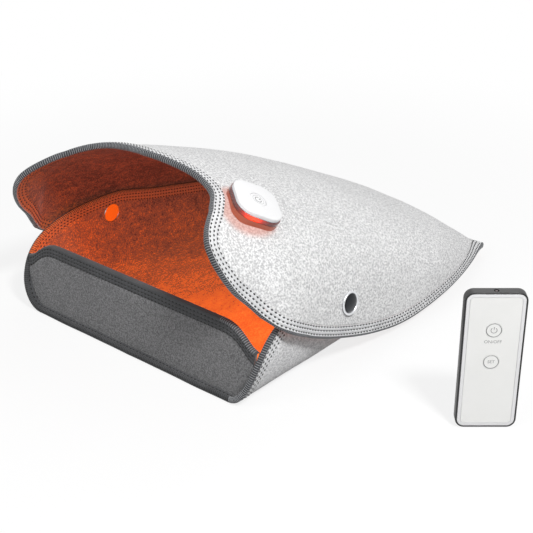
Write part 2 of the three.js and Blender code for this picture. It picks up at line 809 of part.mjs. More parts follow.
// Place on a surface that lies nearest to a point, found in short steps
function nearestPlace(surface, start, point) {
  let place = start;
  for (let i = 0; i < nearestTries; i += 1) {
    const offset = point.clone().sub(surface.point(place.x, place.y)).clampLength(0, nearestStep);
    const moved = moveOver(surface, place, offset);
    const { clamp } = THREE.MathUtils;
    place = new THREE.Vector2(
      clamp(moved.x, Math.max(place.x - surface.stride, surface.reach * -1),
        Math.min(place.x + surface.stride, surface.reach)), clamp(moved.y, -troughDepth, rearY));
  }
  return place;
}

// Copy of a tool, from a group's own frame into the product's
const placedTool = (group, geometry) => geometry.clone().applyMatrix4(group.matrix);
const tools = {
  cover: [], coverFilm: [], coverLining: [], trough: [], troughFilm: [], troughLining: [],
};

const troughForm = makeTrough();
const coverFrames = makeCover();
const coverForm = {
  ribs: coverFrames, sheet: gridSheet(coverFrames), middle: middleSheet(coverFrames, filmSideRibs, 3),
};
const frontFrames = makeFrontWall();
const frontForm = {
  ribs: frontFrames, sheet: gridSheet(frontFrames), middle: middleSheet(frontFrames, 0, 2),
};

trough.skin = new THREE.Mesh(clothLayer(troughForm.sheet, () => 0, () => stackThickness));
cover.skin = new THREE.Mesh(clothLayer(coverForm.sheet, () => 0, () => stackThickness));

// Stacks of the cover and the trough with a clearance round them, to shape what lies against them
const coverStack = clothLayer(coverForm.sheet, () => -slip, () => stackThickness + slip);
const troughStack = clothLayer(
  makeTrough(clothStack.grip + slip).sheet, () => -overrun, () => stackThickness + slip);

// One snap: stud and its backing disc through the wall, cap and socket through the cover
function makeSnap(sideName, side) {
  const wallPlace = new THREE.Vector2(
    side * acrossAtHeight(snapHeight), frontY + snapPlace);
  const wallSide = seatedOn(trough, wallPlace);
  const backTop = -(stackThickness + slip);
  const studTop = slip + snapWall + snapStudHeight;
  const postTop = studTop - snapWall - slip;
  addPiece(wallSide, `${sideName}_snap_back`, turned([
    [0, backTop - snapBackThickness],
    [snapBackRadius - snapWall, backTop - snapBackThickness],
    [snapBackRadius, backTop - snapBackThickness + snapWall],
    [snapBackRadius, backTop],
    [snapPostRadius, backTop],
    [snapPostRadius, postTop],
    [0, postTop],
  ]), 'glowDisc');
  addPiece(wallSide, `${sideName}_snap_stud`, turned([
    [0, postTop + slip],
    [snapPostRadius + slip, postTop + slip],
    [snapPostRadius + slip, slip],
    [snapFlangeRadius, slip],
    [snapFlangeRadius, slip + snapWall],
    [snapBallRadius - slip, slip + snapWall],
    [snapBallRadius, studTop - 2 * slip],
    [snapBallRadius - slip, studTop],
    [0, studTop],
  ]), 'chrome');
  tools.troughLining.push(placedTool(wallSide, bar(
    snapBackRadius + slip, backTop - snapBackThickness - overrun, backTop + slip, roundSides)));
  tools.trough.push(placedTool(wallSide, bar(snapFlangeRadius + slip, 0, studTop, roundSides)));
  const wallHole = placedTool(wallSide, bar(snapPostRadius + slip, backTop - overrun, overrun));
  for (const layer of [tools.trough, tools.troughFilm, tools.troughLining]) layer.push(wallHole);

  const ball = new THREE.Vector3(0, 0, studTop).applyMatrix4(wallSide.matrix);
  const start = new THREE.Vector2(side * snapTurnShare, wallPlace.y);
  const coverSide = seatedOn(cover, nearestPlace(cover, start, ball));
  const socketTop = -(stackThickness + slip);
  const socketLow = socketTop - socketHeight;
  const studRoom = [
    bar(snapBallRadius + slip, 0, studTop + slip, roundSides),
    bar(snapFlangeRadius + slip, -overrun, snapWall + 2 * slip, roundSides),
  ].map((tool) => placedTool(wallSide, tool).applyMatrix4(coverSide.matrix.clone().invert()));
  addPiece(coverSide, `${sideName}_snap_cap`, cut(turned([
    [0, socketTop - snapWall],
    [snapPostRadius, socketTop - snapWall],
    [snapPostRadius, slip],
    [snapCapRadius, slip],
    [snapCapRadius, slip + snapWall],
    [snapCapRadius - snapWall, slip + 2 * snapWall],
    [snapCapRadius * snapCrownShare, slip + snapCapHeight * snapShoulderShare],
    [0, slip + snapCapHeight],
  ]), studRoom), 'chrome');
  addPiece(coverSide, `${sideName}_snap_socket`, cut(turned([
    [snapPostRadius + slip, socketTop],
    [snapPostRadius + slip, socketTop - snapWall],
    [snapBallRadius + 2 * slip, socketTop - snapWall],
    [snapBallRadius + 2 * slip, socketLow],
    [socketRadius, socketLow],
    [socketRadius, socketTop],
    [snapPostRadius + slip, socketTop],
  ]), studRoom), 'steel');
  tools.coverLining.push(placedTool(coverSide, bar(
    socketRadius + slip, socketLow - overrun, socketTop + slip, roundSides)));
  tools.cover.push(placedTool(coverSide, bar(
    snapCapRadius + slip, 0, snapCapHeight + overrun, roundSides)));
  const coverHole = placedTool(coverSide, bar(snapPostRadius + slip, socketTop - overrun, overrun));
  for (const layer of [tools.cover, tools.coverFilm, tools.coverLining]) layer.push(coverHole);
}

// Overheat cut-out in a pocket of the lining, against the heater film
function makeCutout(name, surface, place, liningTools) {
  const group = seatedOn(surface, place);
  const top = -clothStack.lining;
  const low = top - cutoutThickness;
  addPiece(group, name, plate(cutoutLength, cutoutWidth, cutoutCorner, low, top), 'black');
  liningTools.push(placedTool(group, plate(
    cutoutLength + 2 * slip, cutoutWidth + 2 * slip, cutoutCorner + slip, low - slip, top + overrun)));
}

// Squircle ring between two heights
function squircleRing(width, wall, low, high) {
  return cut(plate(width, width, controllerCorner, low, high), [
    plate(width - 2 * wall, width - 2 * wall, controllerCorner - wall, low - overrun, high + overrun),
  ]);
}

// Controller: pan, light ring, cap, button, circuit board and the clamp plate inside the cover
function makeController() {
  const group = standingOn(
    cover, new THREE.Vector2(controllerTurnShare, depthAt(controllerDepthShare)), controllerTurn);
  const inner = controllerWidth - 2 * controllerWall;
  const innerCorner = controllerCorner - controllerWall;
  const screwX = screwSpread / 2;
  const screwHoles = [-screwX, screwX];
  const ringLow = controllerPanHeight + slip;
  const ringTop = ringLow + lightRingHeight;
  const capLow = ringTop + slip;
  const capHigh = capLow + capHeight;
  const capInside = capHigh - capTop;
  const boardLow = controllerFloor + slip;
  const boardTop = boardLow + boardThickness;
  const partLow = boardTop + slip;
  const coverShape = coverStack.clone().applyMatrix4(group.matrix.clone().invert());

  const pan = joined([
    cut(plate(controllerWidth, controllerWidth, controllerCorner, -controllerSink,
      controllerPanHeight), [
      plate(inner, inner, innerCorner, controllerFloor, controllerPanHeight + overrun),
    ]),
    ...screwHoles.map((x) => bar(bossRadius, 0, bossHeight).translate(x, 0, 0)),
  ]);
  addPiece(group, 'controller_pan', cut(pan, [
    coverShape,
    ...screwHoles.map((x) => (
      bar(screwRadius + slip, -controllerSink - overrun, bossHeight - bossCap).translate(x, 0, 0))),
    block([-leadWidth / 2 - slip, -leadPlace - leadThickness / 2 - slip, -controllerSink],
      [leadWidth / 2 + slip, -leadPlace + leadThickness / 2 + slip, controllerPanHeight]),
  ]), 'smoke');

  const inletHigh = partLow + inletHeight;
  const inletMouth = inner / 2 - slip;
  addPiece(group, 'controller_light_ring', cut(
    squircleRing(controllerWidth, controllerWall, ringLow, ringTop), [
      block([-inletWidth / 2 - slip, inner / 2 - overrun, partLow - slip],
        [inletWidth / 2 + slip, controllerWidth / 2 + overrun, inletHigh + slip]),
    ]), 'lens');

  const roundedCap = new THREE.ExtrudeGeometry(roundedOutline(controllerWidth - 2 * capRound,
    controllerWidth - 2 * capRound, controllerCorner - capRound), {
    depth: capHeight, bevelThickness: capRound, bevelSize: capRound, bevelSegments: 3,
    curveSegments: cornerSides,
  }).translate(0, 0, capLow - capRound);
  addPiece(group, 'controller_cap', cut(roundedCap, [
    block([-controllerWidth, -controllerWidth, capLow - 2 * capRound - overrun],
      [controllerWidth, controllerWidth, capLow]),
    plate(inner, inner, innerCorner, capLow - overrun, capInside),
    bar(buttonRadius + slip, capLow, capHigh + overrun, roundSides),
  ]), 'white');

  const flangeTop = capInside - slip;
  const flangeLow = flangeTop - buttonFlange;
  const flangeRadius = buttonRadius + controllerWall;
  addPiece(group, 'power_button', turned([
    [0, flangeLow],
    [flangeRadius, flangeLow],
    [flangeRadius, flangeTop],
    [buttonRadius, flangeTop],
    [buttonRadius, capHigh - slip],
    [buttonRadius - slip, capHigh],
    [0, capHigh],
  ]), 'white');

  const plungerTop = flangeLow - buttonTravel - slip;
  addPiece(group, 'controller_board', cut(
    plate(inner - 2 * slip, inner - 2 * slip, innerCorner - slip, boardLow, boardTop),
    screwHoles.map((x) => bar(bossRadius + slip, partLow - overrun - bossHeight, bossHeight)
      .translate(x, 0, 0))), 'circuit');
  const halfSwitch = switchWidth / 2;
  addPiece(group, 'button_switch', joined([
    block([-halfSwitch, -halfSwitch, partLow], [halfSwitch, halfSwitch, partLow + switchHeight]),
    bar(switchPlungerRadius, partLow, plungerTop),
  ]), 'black');
  const lampPlace = inner / 2 - lampWidth;
  addPiece(group, 'status_lamp', block([lampPlace - lampWidth / 2, -lampWidth / 2, partLow],
    [lampPlace + lampWidth / 2, lampWidth / 2, partLow + lampHeight]), 'lens');
  const receiverPlace = -inner / 2 + receiverWidth;
  addPiece(group, 'remote_receiver', joined([
    block([-receiverWidth / 2, receiverPlace - receiverWidth / 2, partLow],
      [receiverWidth / 2, receiverPlace + receiverWidth / 2, partLow + receiverHeight / 2]),
    bar(receiverWidth / 3, partLow, partLow + receiverHeight).translate(0, receiverPlace, 0),
  ]), 'black');

  const halfInlet = inletWidth / 2;
  addPiece(group, 'power_inlet', cut(
    block([-halfInlet, inletMouth - inletLength, partLow], [halfInlet, inletMouth, inletHigh]), [
      block([-halfInlet + inletWall, inletMouth - inletLength + inletWall, partLow + inletWall],
        [halfInlet - inletWall, inletMouth + overrun, inletHigh - inletWall]),
    ]), 'steel');

  const leadLow = slip - clothStack.middle;
  addPiece(group, 'controller_lead', block(
    [-leadWidth / 2, -leadPlace - leadThickness / 2, leadLow],
    [leadWidth / 2, -leadPlace + leadThickness / 2, boardLow - slip]), 'black');

  const plateLow = -(stackThickness + clampPlateDepth);
  addPiece(group, 'clamp_plate', cut(
    plate(clampPlateWidth, clampPlateWidth, controllerCorner, plateLow, -stackThickness), [
      coverShape,
      ...screwHoles.map((x) => (
        bar(screwRadius + slip, plateLow - overrun, overrun).translate(x, 0, 0))),
    ]), 'black');
  screwHoles.forEach((x, i) => {
    addPiece(group, `clamp_screw_${i + 1}`, turned([
      [0, plateLow - slip - screwHeadHeight],
      [screwHeadRadius, plateLow - slip - screwHeadHeight],
      [screwHeadRadius, plateLow - slip],
      [screwRadius, plateLow - slip],
      [screwRadius, bossHeight - bossCap - slip],
      [0, bossHeight - bossCap - slip],
    ], smallSides).translate(x, 0, 0), 'steel');
  });

  const deep = -(stackThickness + controllerSink);
  const passages = screwHoles.map((x) => placedTool(group,
    bar(screwRadius + slip, deep, controllerSink).translate(x, 0, 0)));
  const leadPassage = placedTool(group, block(
    [-leadWidth / 2 - slip, -leadPlace - leadThickness / 2 - slip, -clothStack.middle],
    [leadWidth / 2 + slip, -leadPlace + leadThickness / 2 + slip, controllerSink]));
  tools.cover.push(...passages, leadPassage);
  tools.coverFilm.push(...passages);
  tools.coverLining.push(...passages);
}

// Rear fold: the outer felt's bend and the flat lead that follows it, bent along the hinge line
function makeFold() {
  const bend = (outerRadius, thickness, low, high) => {
    const profileAt = (x) => {
      const ring = [];
      for (let i = 0; i <= foldSteps; i += 1) {
        const angle = 2 * quarter * i / foldSteps - quarter;
        ring.push([outerRadius * Math.cos(angle), outerRadius * Math.sin(angle)]);
      }
      for (let i = foldSteps; i >= 0; i -= 1) {
        const angle = 2 * quarter * i / foldSteps - quarter;
        const inner = outerRadius - thickness;
        ring.push([inner * Math.cos(angle), inner * Math.sin(angle)]);
      }
      return ring.map(([y, z]) => new THREE.Vector3(x, rearY + layerGap + y, foldHeight + z));
    };
    return sweptProfile([profileAt(low), profileAt(high)]);
  };
  const half = footingWidth / 2 - foldEndInset;
  addPiece(product, 'rear_fold', bend(foldHeight - layerGap, feltThickness - layerGap, -half, half),
    'felt');
  addPiece(product, 'rear_fold_lead', bend(foldHeight - clothStack.middle, filmThickness,
    foldLeadPlace - foldLeadWidth / 2, foldLeadPlace + foldLeadWidth / 2), 'black');
}

// Remote control, built lying on its back and then stood on its lower end
function makeRemote() {
  const stand = new THREE.Group();
  stand.position.set(remotePlaceX, remotePlaceY, remoteHeight / 2);
  stand.rotation.set(quarter, 0, THREE.MathUtils.degToRad(remoteYaw), 'ZXY');
  product.add(stand);
  const keyY = (height) => height - remoteHeight / 2;
  const faceLow = remoteThickness - remoteFaceThickness;
  const innerWidth = remoteWidth - 2 * remoteWall;
  const innerHeight = remoteHeight - 2 * remoteWall;
  const innerCorner = remoteCorner - remoteWall;
  const cellLow = doorThickness + slip;
  const contactLow = cellLow + cellThickness + slip;
  const boardLow = contactLow + contactThickness + slip;
  const boardTop = boardLow + remoteBoardThickness;
  const emitterHeight = boardLow + remoteBoardThickness / 2;
  const boardHeight = innerHeight - 2 * remoteBoardMargin;
  const standoffX = innerWidth / 2 - remoteLedge - standoffMargin / 2;
  const standoffY = boardHeight / 2 - standoffMargin;

  const shell = joined([
    cut(plate(remoteWidth, remoteHeight, remoteCorner, 0, remoteThickness), [
      plate(innerWidth - 2 * remoteLedge, innerHeight - 2 * remoteLedge, innerCorner - remoteLedge,
        remoteWall, remoteThickness + overrun),
      plate(innerWidth, innerHeight, innerCorner, faceLow - slip, remoteThickness + overrun),
    ]),
    ...[[-1, -1], [-1, 1], [1, -1], [1, 1]].map(([x, y]) => (
      bar(standoffRadius, 0, boardLow - slip).translate(x * standoffX, y * standoffY, 0))),
  ]);
  const emitter = (radius, from, to) => bar(radius, from, to).rotateX(-quarter)
    .translate(0, 0, emitterHeight);
  addPiece(stand, 'remote_back_shell', cut(shell, [
    bar(doorRadius + slip, -overrun, remoteWall + overrun, roundSides).translate(0, cellPlace, 0),
    emitter(emitterRadius + slip, innerHeight / 2 - remoteLedge - overrun,
      remoteHeight / 2 + overrun),
  ]), 'black');

  const faceWidth = innerWidth - 2 * slip;
  const faceHeight = innerHeight - 2 * slip;
  const overlayDepth = remoteOverlayThickness + slip;
  const keys = [['remote_power_key', remotePowerKeyHeight], ['remote_set_key', remoteSetKeyHeight]];
  const keyHoles = keys.map(([, height]) => bar(
    remoteKeyRadius + slip, 0, remoteThickness + overrun, roundSides)
    .translate(0, keyY(height), 0));
  addPiece(stand, 'remote_face', cut(
    plate(faceWidth, faceHeight, innerCorner - slip, faceLow, remoteThickness), [
      plate(faceWidth - 2 * remoteBorder, faceHeight - 2 * remoteBorder,
        innerCorner - slip - remoteBorder, remoteThickness - overlayDepth,
        remoteThickness + overrun),
      ...keyHoles,
    ]), 'white');
  addPiece(stand, 'remote_overlay', cut(plate(faceWidth - 2 * remoteBorder - 2 * slip,
    faceHeight - 2 * remoteBorder - 2 * slip, innerCorner - 2 * slip - remoteBorder,
    remoteThickness - remoteOverlayThickness, remoteThickness), keyHoles), 'grey');

  const flangeTop = faceLow - slip;
  const flangeLow = flangeTop - remoteKeyFlange;
  keys.forEach(([name, height]) => {
    addPiece(stand, name, turned([
      [0, flangeLow],
      [remoteKeyRadius + remoteKeyLip, flangeLow],
      [remoteKeyRadius + remoteKeyLip, flangeTop],
      [remoteKeyRadius, flangeTop],
      [remoteKeyRadius, remoteThickness],
      [0, remoteThickness],
    ]).translate(0, keyY(height), 0), 'grey');
    addPiece(stand, name.replace('key', 'dome'), turned([
      [0, boardTop + slip],
      [domeRadius, boardTop + slip],
      [domeRadius * domeCrownShare, boardTop + slip + domeHeight],
      [0, boardTop + slip + domeHeight],
    ], smallSides).translate(0, keyY(height), 0), 'steel');
  });
  addPiece(stand, 'remote_board', plate(innerWidth - 2 * remoteLedge - 2 * slip, boardHeight,
    innerCorner - remoteLedge - slip, boardLow, boardTop), 'circuit');
  addPiece(stand, 'remote_emitter', emitter(emitterRadius, boardHeight / 2 + slip,
    remoteHeight / 2 - slip), 'lens');

  addPiece(stand, 'remote_cell', bar(cellRadius, cellLow, cellLow + cellThickness, roundSides)
    .translate(0, cellPlace, 0), 'steel');
  addPiece(stand, 'remote_cell_holder', turned([
    [cellRadius + slip, cellLow],
    [cellRadius + slip + holderWall, cellLow],
    [cellRadius + slip + holderWall, boardLow - slip],
    [cellRadius + slip, boardLow - slip],
    [cellRadius + slip, cellLow],
  ]).translate(0, cellPlace, 0), 'black');
  addPiece(stand, 'remote_cell_contact', bar(cellRadius / 2, contactLow,
    contactLow + contactThickness).translate(0, cellPlace, 0), 'steel');
  addPiece(stand, 'remote_battery_door', cut(
    bar(doorRadius, 0, doorThickness, roundSides).translate(0, cellPlace, 0), [
      block([-doorSlotLength / 2, cellPlace - doorSlotWidth / 2, -overrun],
        [doorSlotLength / 2, cellPlace + doorSlotWidth / 2, doorSlotDepth]),
    ]), 'black');
}

makeSnap('right', 1);
makeSnap('left', -1);
makeController();
makeCutout('cover_cutout', cover, new THREE.Vector2(0, 0), tools.coverLining);
makeCutout('base_cutout', trough, new THREE.Vector2(0, 0), tools.troughLining);
makeFold();
makeRemote();

const layers = ({ ribs, sheet, middle }, stack) => {
  const spare = layerGap / 3;
  const grip = edgeBinding(ribs, stack, layerGap / 2);
  const roomFor = (topDepth, bottomDepth) => clothLayer(
    sheet, (inBand) => topDepth(inBand) - spare, (inBand) => bottomDepth(inBand) + spare);
  const feltRoom = roomFor(stack.feltTop, stack.feltBottom);
  const liningRoom = roomFor(stack.liningTop, stack.liningBottom);
  return {
    felt: cut(clothLayer(sheet, stack.feltTop, stack.feltBottom), [grip]),
    middle: cut(clothLayer(middle, stack.middleTop, stack.middleBottom), [feltRoom, liningRoom]),
    lining: cut(clothLayer(sheet, stack.liningTop, stack.liningBottom), [grip, feltRoom]),
  };
};
const troughLayers = layers(troughForm, clothStack);
addPiece(product, 'base_outer_felt', cut(troughLayers.felt, tools.trough), 'felt');
addPiece(product, 'base_heater_film', cut(troughLayers.middle, tools.troughFilm), 'film');
addPiece(product, 'base_lining', cut(troughLayers.lining, tools.troughLining), 'lining');
addPiece(product, 'base_edge_binding', edgeBinding(troughForm.ribs, clothStack), 'binding');

const coverLayers = layers(coverForm, clothStack);
addPiece(product, 'cover_outer_felt', cut(coverLayers.felt, tools.cover), 'felt');
addPiece(product, 'cover_heater_film', cut(coverLayers.middle, tools.coverFilm), 'film');
addPiece(product, 'cover_lining', cut(coverLayers.lining, tools.coverLining), 'lining');
addPiece(product, 'cover_edge_binding', edgeBinding(coverForm.ribs, clothStack), 'binding');

const frontWall = new THREE.Group();
frontWall.position.y = frontY + frontWallSetback;
frontWall.rotation.x = -Math.atan2(frontWallLean, frontWallHeight);
product.add(frontWall);
const frontLayers = layers(frontForm, frontStack);
frontWall.updateMatrix();
const wallShape = troughStack.clone().applyMatrix4(frontWall.matrix.clone().invert());
const addFront = (name, geometry, shade) => addPiece(frontWall, name, cut(geometry, [wallShape]), shade);
addFront('front_wall_felt', frontLayers.felt, 'frontFelt');
addFront('front_wall_board', frontLayers.middle, 'board');
addFront('front_wall_lining', frontLayers.lining, 'lining');
addFront('front_wall_binding', edgeBinding(frontFrames, frontStack), 'binding');

export default product;
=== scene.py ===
"""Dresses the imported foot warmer: felt, linings, bound edges, stitching, snaps, controller and remote.

Metres, +Z up, front towards -Y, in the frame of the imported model.
"""

from __future__ import annotations

import json
import logging
import math
from dataclasses import dataclass, field
from enum import Enum
from typing import Callable, Sequence

import bmesh
import bpy
import numpy as np
from mathutils import Matrix, Vector


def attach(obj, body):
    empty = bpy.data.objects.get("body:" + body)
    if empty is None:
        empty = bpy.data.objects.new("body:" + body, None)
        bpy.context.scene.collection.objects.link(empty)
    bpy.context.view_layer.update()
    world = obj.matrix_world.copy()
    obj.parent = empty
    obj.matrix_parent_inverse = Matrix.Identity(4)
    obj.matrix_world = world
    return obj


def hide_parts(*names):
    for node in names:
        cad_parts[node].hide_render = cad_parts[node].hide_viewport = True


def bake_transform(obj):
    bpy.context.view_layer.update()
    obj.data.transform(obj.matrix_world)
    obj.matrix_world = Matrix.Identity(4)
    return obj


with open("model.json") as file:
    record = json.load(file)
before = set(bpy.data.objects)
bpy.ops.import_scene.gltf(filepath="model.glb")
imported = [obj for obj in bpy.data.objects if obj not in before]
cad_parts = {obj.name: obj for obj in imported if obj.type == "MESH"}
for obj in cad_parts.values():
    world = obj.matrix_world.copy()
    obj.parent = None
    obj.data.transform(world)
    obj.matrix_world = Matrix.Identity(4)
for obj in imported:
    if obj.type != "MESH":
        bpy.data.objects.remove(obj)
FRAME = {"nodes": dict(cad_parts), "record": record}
LOG = logging.getLogger("foot_warmer")
Array = np.ndarray
Colour = tuple[float, float, float]
Point = tuple[float, float, float]
Outline = tuple[tuple[float, float], ...]
Piece = bpy.types.Object


def rgb(red: int, green: int, blue: int) -> Colour:
    """Turns a display colour of 0 to 255 into the shader's linear colour."""
    parts = [value / 255 for value in (red, green, blue)]
    return tuple(p / 12.92 if p <= 0.04045 else ((p + 0.055) / 1.055) ** 2.4 for p in parts)


# Shaders


class Reading:
    """A value inside a material, on which Python's arithmetic adds Math nodes."""

    def __init__(self, paint: "Paint", socket: bpy.types.NodeSocket) -> None:
        """Keeps the material and the socket that gives the value."""
        self.paint = paint
        self.socket = socket

    def _sum(self, operation: str, first: object, second: object) -> "Reading":
        """Adds one Math node and returns its value."""
        return self.paint.node("ShaderNodeMath", {"operation": operation}, {0: first, 1: second})

    def __add__(self, other: object) -> "Reading":
        """Adds."""
        return self._sum("ADD", self, other)

    __radd__ = __add__

    def __sub__(self, other: object) -> "Reading":
        """Subtracts."""
        return self._sum("SUBTRACT", self, other)

    def __rsub__(self, other: object) -> "Reading":
        """Subtracts from another value."""
        return self._sum("SUBTRACT", other, self)

    def __mul__(self, other: object) -> "Reading":
        """Multiplies."""
        return self._sum("MULTIPLY", self, other)

    __rmul__ = __mul__

    def __truediv__(self, other: object) -> "Reading":
        """Divides."""
        return self._sum("DIVIDE", self, other)

    def __pow__(self, other: object) -> "Reading":
        """Raises to a power."""
        return self._sum("POWER", self, other)

    def above(self, limit: float) -> "Reading":
        """Gives 1 where the value is over a limit, and otherwise 0."""
        return self._sum("GREATER_THAN", self, limit)

    def clamped(self) -> "Reading":
        """Keeps the value between 0 and 1."""
        return self.paint.node("ShaderNodeClamp", {}, {"Value": self})

    def eased(self, low: float, high: float) -> "Reading":
        """Runs smoothly from 0 at a low value to 1 at a high one."""
        return self.paint.node("ShaderNodeMapRange", {"interpolation_type": "SMOOTHSTEP"},
                               {"Value": self, "From Min": low, "From Max": high})

    def sine(self) -> "Reading":
        """Gives the sine of an angle in radians."""
        return self._sum("SINE", self, 0.0)


class Paint:
    """One procedural material, or the world, and the nodes in it."""

    def __init__(self, name: str, world: bpy.types.World | None = None) -> None:
        """Starts a material with a plain Principled shader, or takes on a world.

        Args:
            name: The material's name.
            world: The world whose background is painted instead.
        """
        self.material = world or bpy.data.materials.new(name)
        self.material.use_nodes = True
        self.tree = self.material.node_tree
        self.shader = self.tree.nodes["Background" if world else "Principled BSDF"]

    def node(self, kind: str, settings: dict, values: dict, output: object = 0) -> Reading:
        """Adds any node.

        Args:
            kind: The node's type.
            settings: Its own settings, made first; "stops" holds a colour ramp's stops.
            values: Numbers, colours or readings for its sockets.
            output: Name or number of the socket that is read.

        Returns:
            The reading of that socket.
        """
        made = self.tree.nodes.new(kind)
        for key, value in settings.items():
            if key == "stops":
                ramp = made.color_ramp
                while len(ramp.elements) < len(value):
                    ramp.elements.new(0.5)
                for element, (place, colour) in zip(ramp.elements, value):
                    element.position = place
                    element.color = (*colour, 1.0)
            else:
                setattr(made, key, value)
        for key, value in values.items():
            self._feed(made.inputs[key], value)
        return Reading(self, made.outputs[output])

    def _feed(self, socket: bpy.types.NodeSocket, value: object) -> None:
        """Links a reading to a socket, or sets a plain value on it.

        Args:
            socket: The socket.
            value: A reading, number, vector or colour.
        """
        if isinstance(value, Reading):
            self.tree.links.new(value.socket, socket)
        elif isinstance(value, tuple) and socket.type == "RGBA":
            socket.default_value = (*value, 1.0)
        else:
            socket.default_value = value

    def set(self, **values: object) -> "Paint":
        """Feeds the Principled shader's sockets, given as words joined by underscores.

        Args:
            values: Numbers, colours or readings by socket.

        Returns:
            This material.
        """
        for key, value in values.items():
            words = key.replace("_", " ")
            match = next(i for i in self.shader.inputs if i.name.lower() == words)
            self._feed(match, value)
        return self

    def seen(self) -> Reading:
        """Tells what is seen from what only lights.

        Returns:
            1 for the camera, for mirrors and through glass, and 0 for soft light.
        """
        rays = [self.node("ShaderNodeLightPath", {}, {}, f"Is {kind} Ray")
                for kind in ("Camera", "Glossy", "Transmission")]
        return (rays[0] + rays[1] + rays[2]).clamped()

    def show(self, surface: Reading) -> None:
        """Shows a surface in place of the plain shader."""
        self._feed(self.tree.nodes["Material Output"].inputs[0], surface)

    def place(self) -> Reading:
        """Gives the place on the object, in metres."""
        return self.node("ShaderNodeTexCoord", {}, {}, "Object")

    def axes(self) -> tuple[Reading, Reading, Reading]:
        """Gives the x, y and z of the place on the object."""
        parts = self.node("ShaderNodeSeparateXYZ", {}, {0: self.place()})
        return tuple(Reading(self, parts.socket.node.outputs[k]) for k in range(3))

    def along(self) -> tuple[Reading, Reading]:
        """Reads a strip's own map.

        Returns:
            The distance along the strip and the one across it.
        """
        uv = self.node("ShaderNodeUVMap", {"uv_map": "run"}, {})
        parts = self.node("ShaderNodeSeparateXYZ", {}, {0: uv})
        return tuple(Reading(self, parts.socket.node.outputs[k]) for k in range(2))

    def noise(self, scale: float, detail: float = 2.0, stretch: Sequence[float] = (1, 1, 1),
              rough: float = 0.5, turn: Sequence[float] = (0, 0, 0)) -> Reading:
        """Gives soft noise from 0 to 1.

        Args:
            scale: Spots in a metre.
            detail: Finer layers in it.
            stretch: Scale along each axis.
            rough: Strength of the finer layers.
            turn: Angles of the stretch.

        Returns:
            The noise.
        """
        at = self.node("ShaderNodeMapping", {}, {
            "Vector": self.place(), "Scale": tuple(stretch), "Rotation": tuple(turn)})
        return self.node("ShaderNodeTexNoise", {}, {
            "Vector": at, "Scale": scale, "Detail": detail, "Roughness": rough})

    def mix(self, share: object, first: object, second: object) -> Reading:
        """Mixes two colours."""
        return self.node("ShaderNodeMix", {"data_type": "RGBA"},
                         {0: share, 6: first, 7: second}, 2)

    def ramp(self, value: Reading, stops: Sequence[tuple[float, Colour]]) -> Reading:
        """Gives the colour of a ramp at a value."""
        return self.node("ShaderNodeValToRGB", {"stops": stops}, {0: value})

    def relief(self, height: Reading, depth: float, strength: float = 1.0) -> Reading:
        """Turns a height map into a bumped normal of a real depth."""
        return self.node("ShaderNodeBump", {}, {
            "Height": height, "Distance": depth, "Strength": strength})


@dataclass(frozen=True)
class Finish:
    """A finish that paints pieces; made once and then shared."""

    name: str

    def make(self) -> bpy.types.Material:
        """Gives the material of this finish, painted the first time it is asked for.

        Returns:
            The material.
        """
        found = bpy.data.materials.get(self.name)
        if not found:
            paint = Paint(self.name)
            self.painted(paint)
            found = paint.material
        return found

    def painted(self, paint: Paint) -> None:
        """Builds the nodes; each finish has its own."""
        raise NotImplementedError


@dataclass(frozen=True)
class Felt(Finish):
    """Pressed felt with short lighter and darker fibres."""

    light: Colour
    dark: Colour
    fleck: Colour
    grain: float = 560.0
    depth: float = 0.0011
    # glow: centre of a painted pool of the controller lamp's red light on the felt, or none
    glow: Sequence[float] = ()

    def painted(self, paint: Paint) -> None:
        """Builds speckle, streaks and relief, with a painted pool of the controller lamp's red light if
        asked.

        Args:
            paint: The new material.
        """
        spots = paint.noise(self.grain, 1.5, rough=0.55)
        streaks = paint.noise(self.grain * 1.1, 1.0, (1.0, 0.6, 0.8), 0.5, (0.0, 0.0, 0.5))
        threads = paint.noise(self.grain * 1.1, 1.0, (0.6, 1.0, 0.7), 0.5, (0.3, 0.0, -0.4))
        clouds = paint.noise(9.0, 2.0)
        height = spots * 0.5 + streaks * 0.25 + threads * 0.25
        tone = (height - 0.5) * 6.5 + (clouds - 0.5) * 0.3 + 0.5
        colour = paint.mix(tone.clamped(), self.dark, self.light)
        flecks = paint.noise(self.grain * 1.3, 1.0).eased(0.60, 0.72) * 0.6
        colour = paint.mix(flecks, colour, self.fleck)
        # Painted light: the felt turns red round the controller's lamp, as if lit by it.
        if self.glow:
            reach = paint.node("ShaderNodeVectorMath", {"operation": "DISTANCE"}, {
                0: paint.place(), 1: tuple(self.glow)}, 1)
            painted_lamp_light = (1 - reach.eased(0.027, 0.036)) * 0.55
            colour = paint.mix(painted_lamp_light, colour, rgb(200, 112, 80))
        paint.set(base_color=colour, roughness=0.92 + spots * 0.08, sheen_weight=0.25,
                  sheen_roughness=0.6, specular_ior_level=0.15,
                  normal=paint.relief(height, self.depth, 0.9))


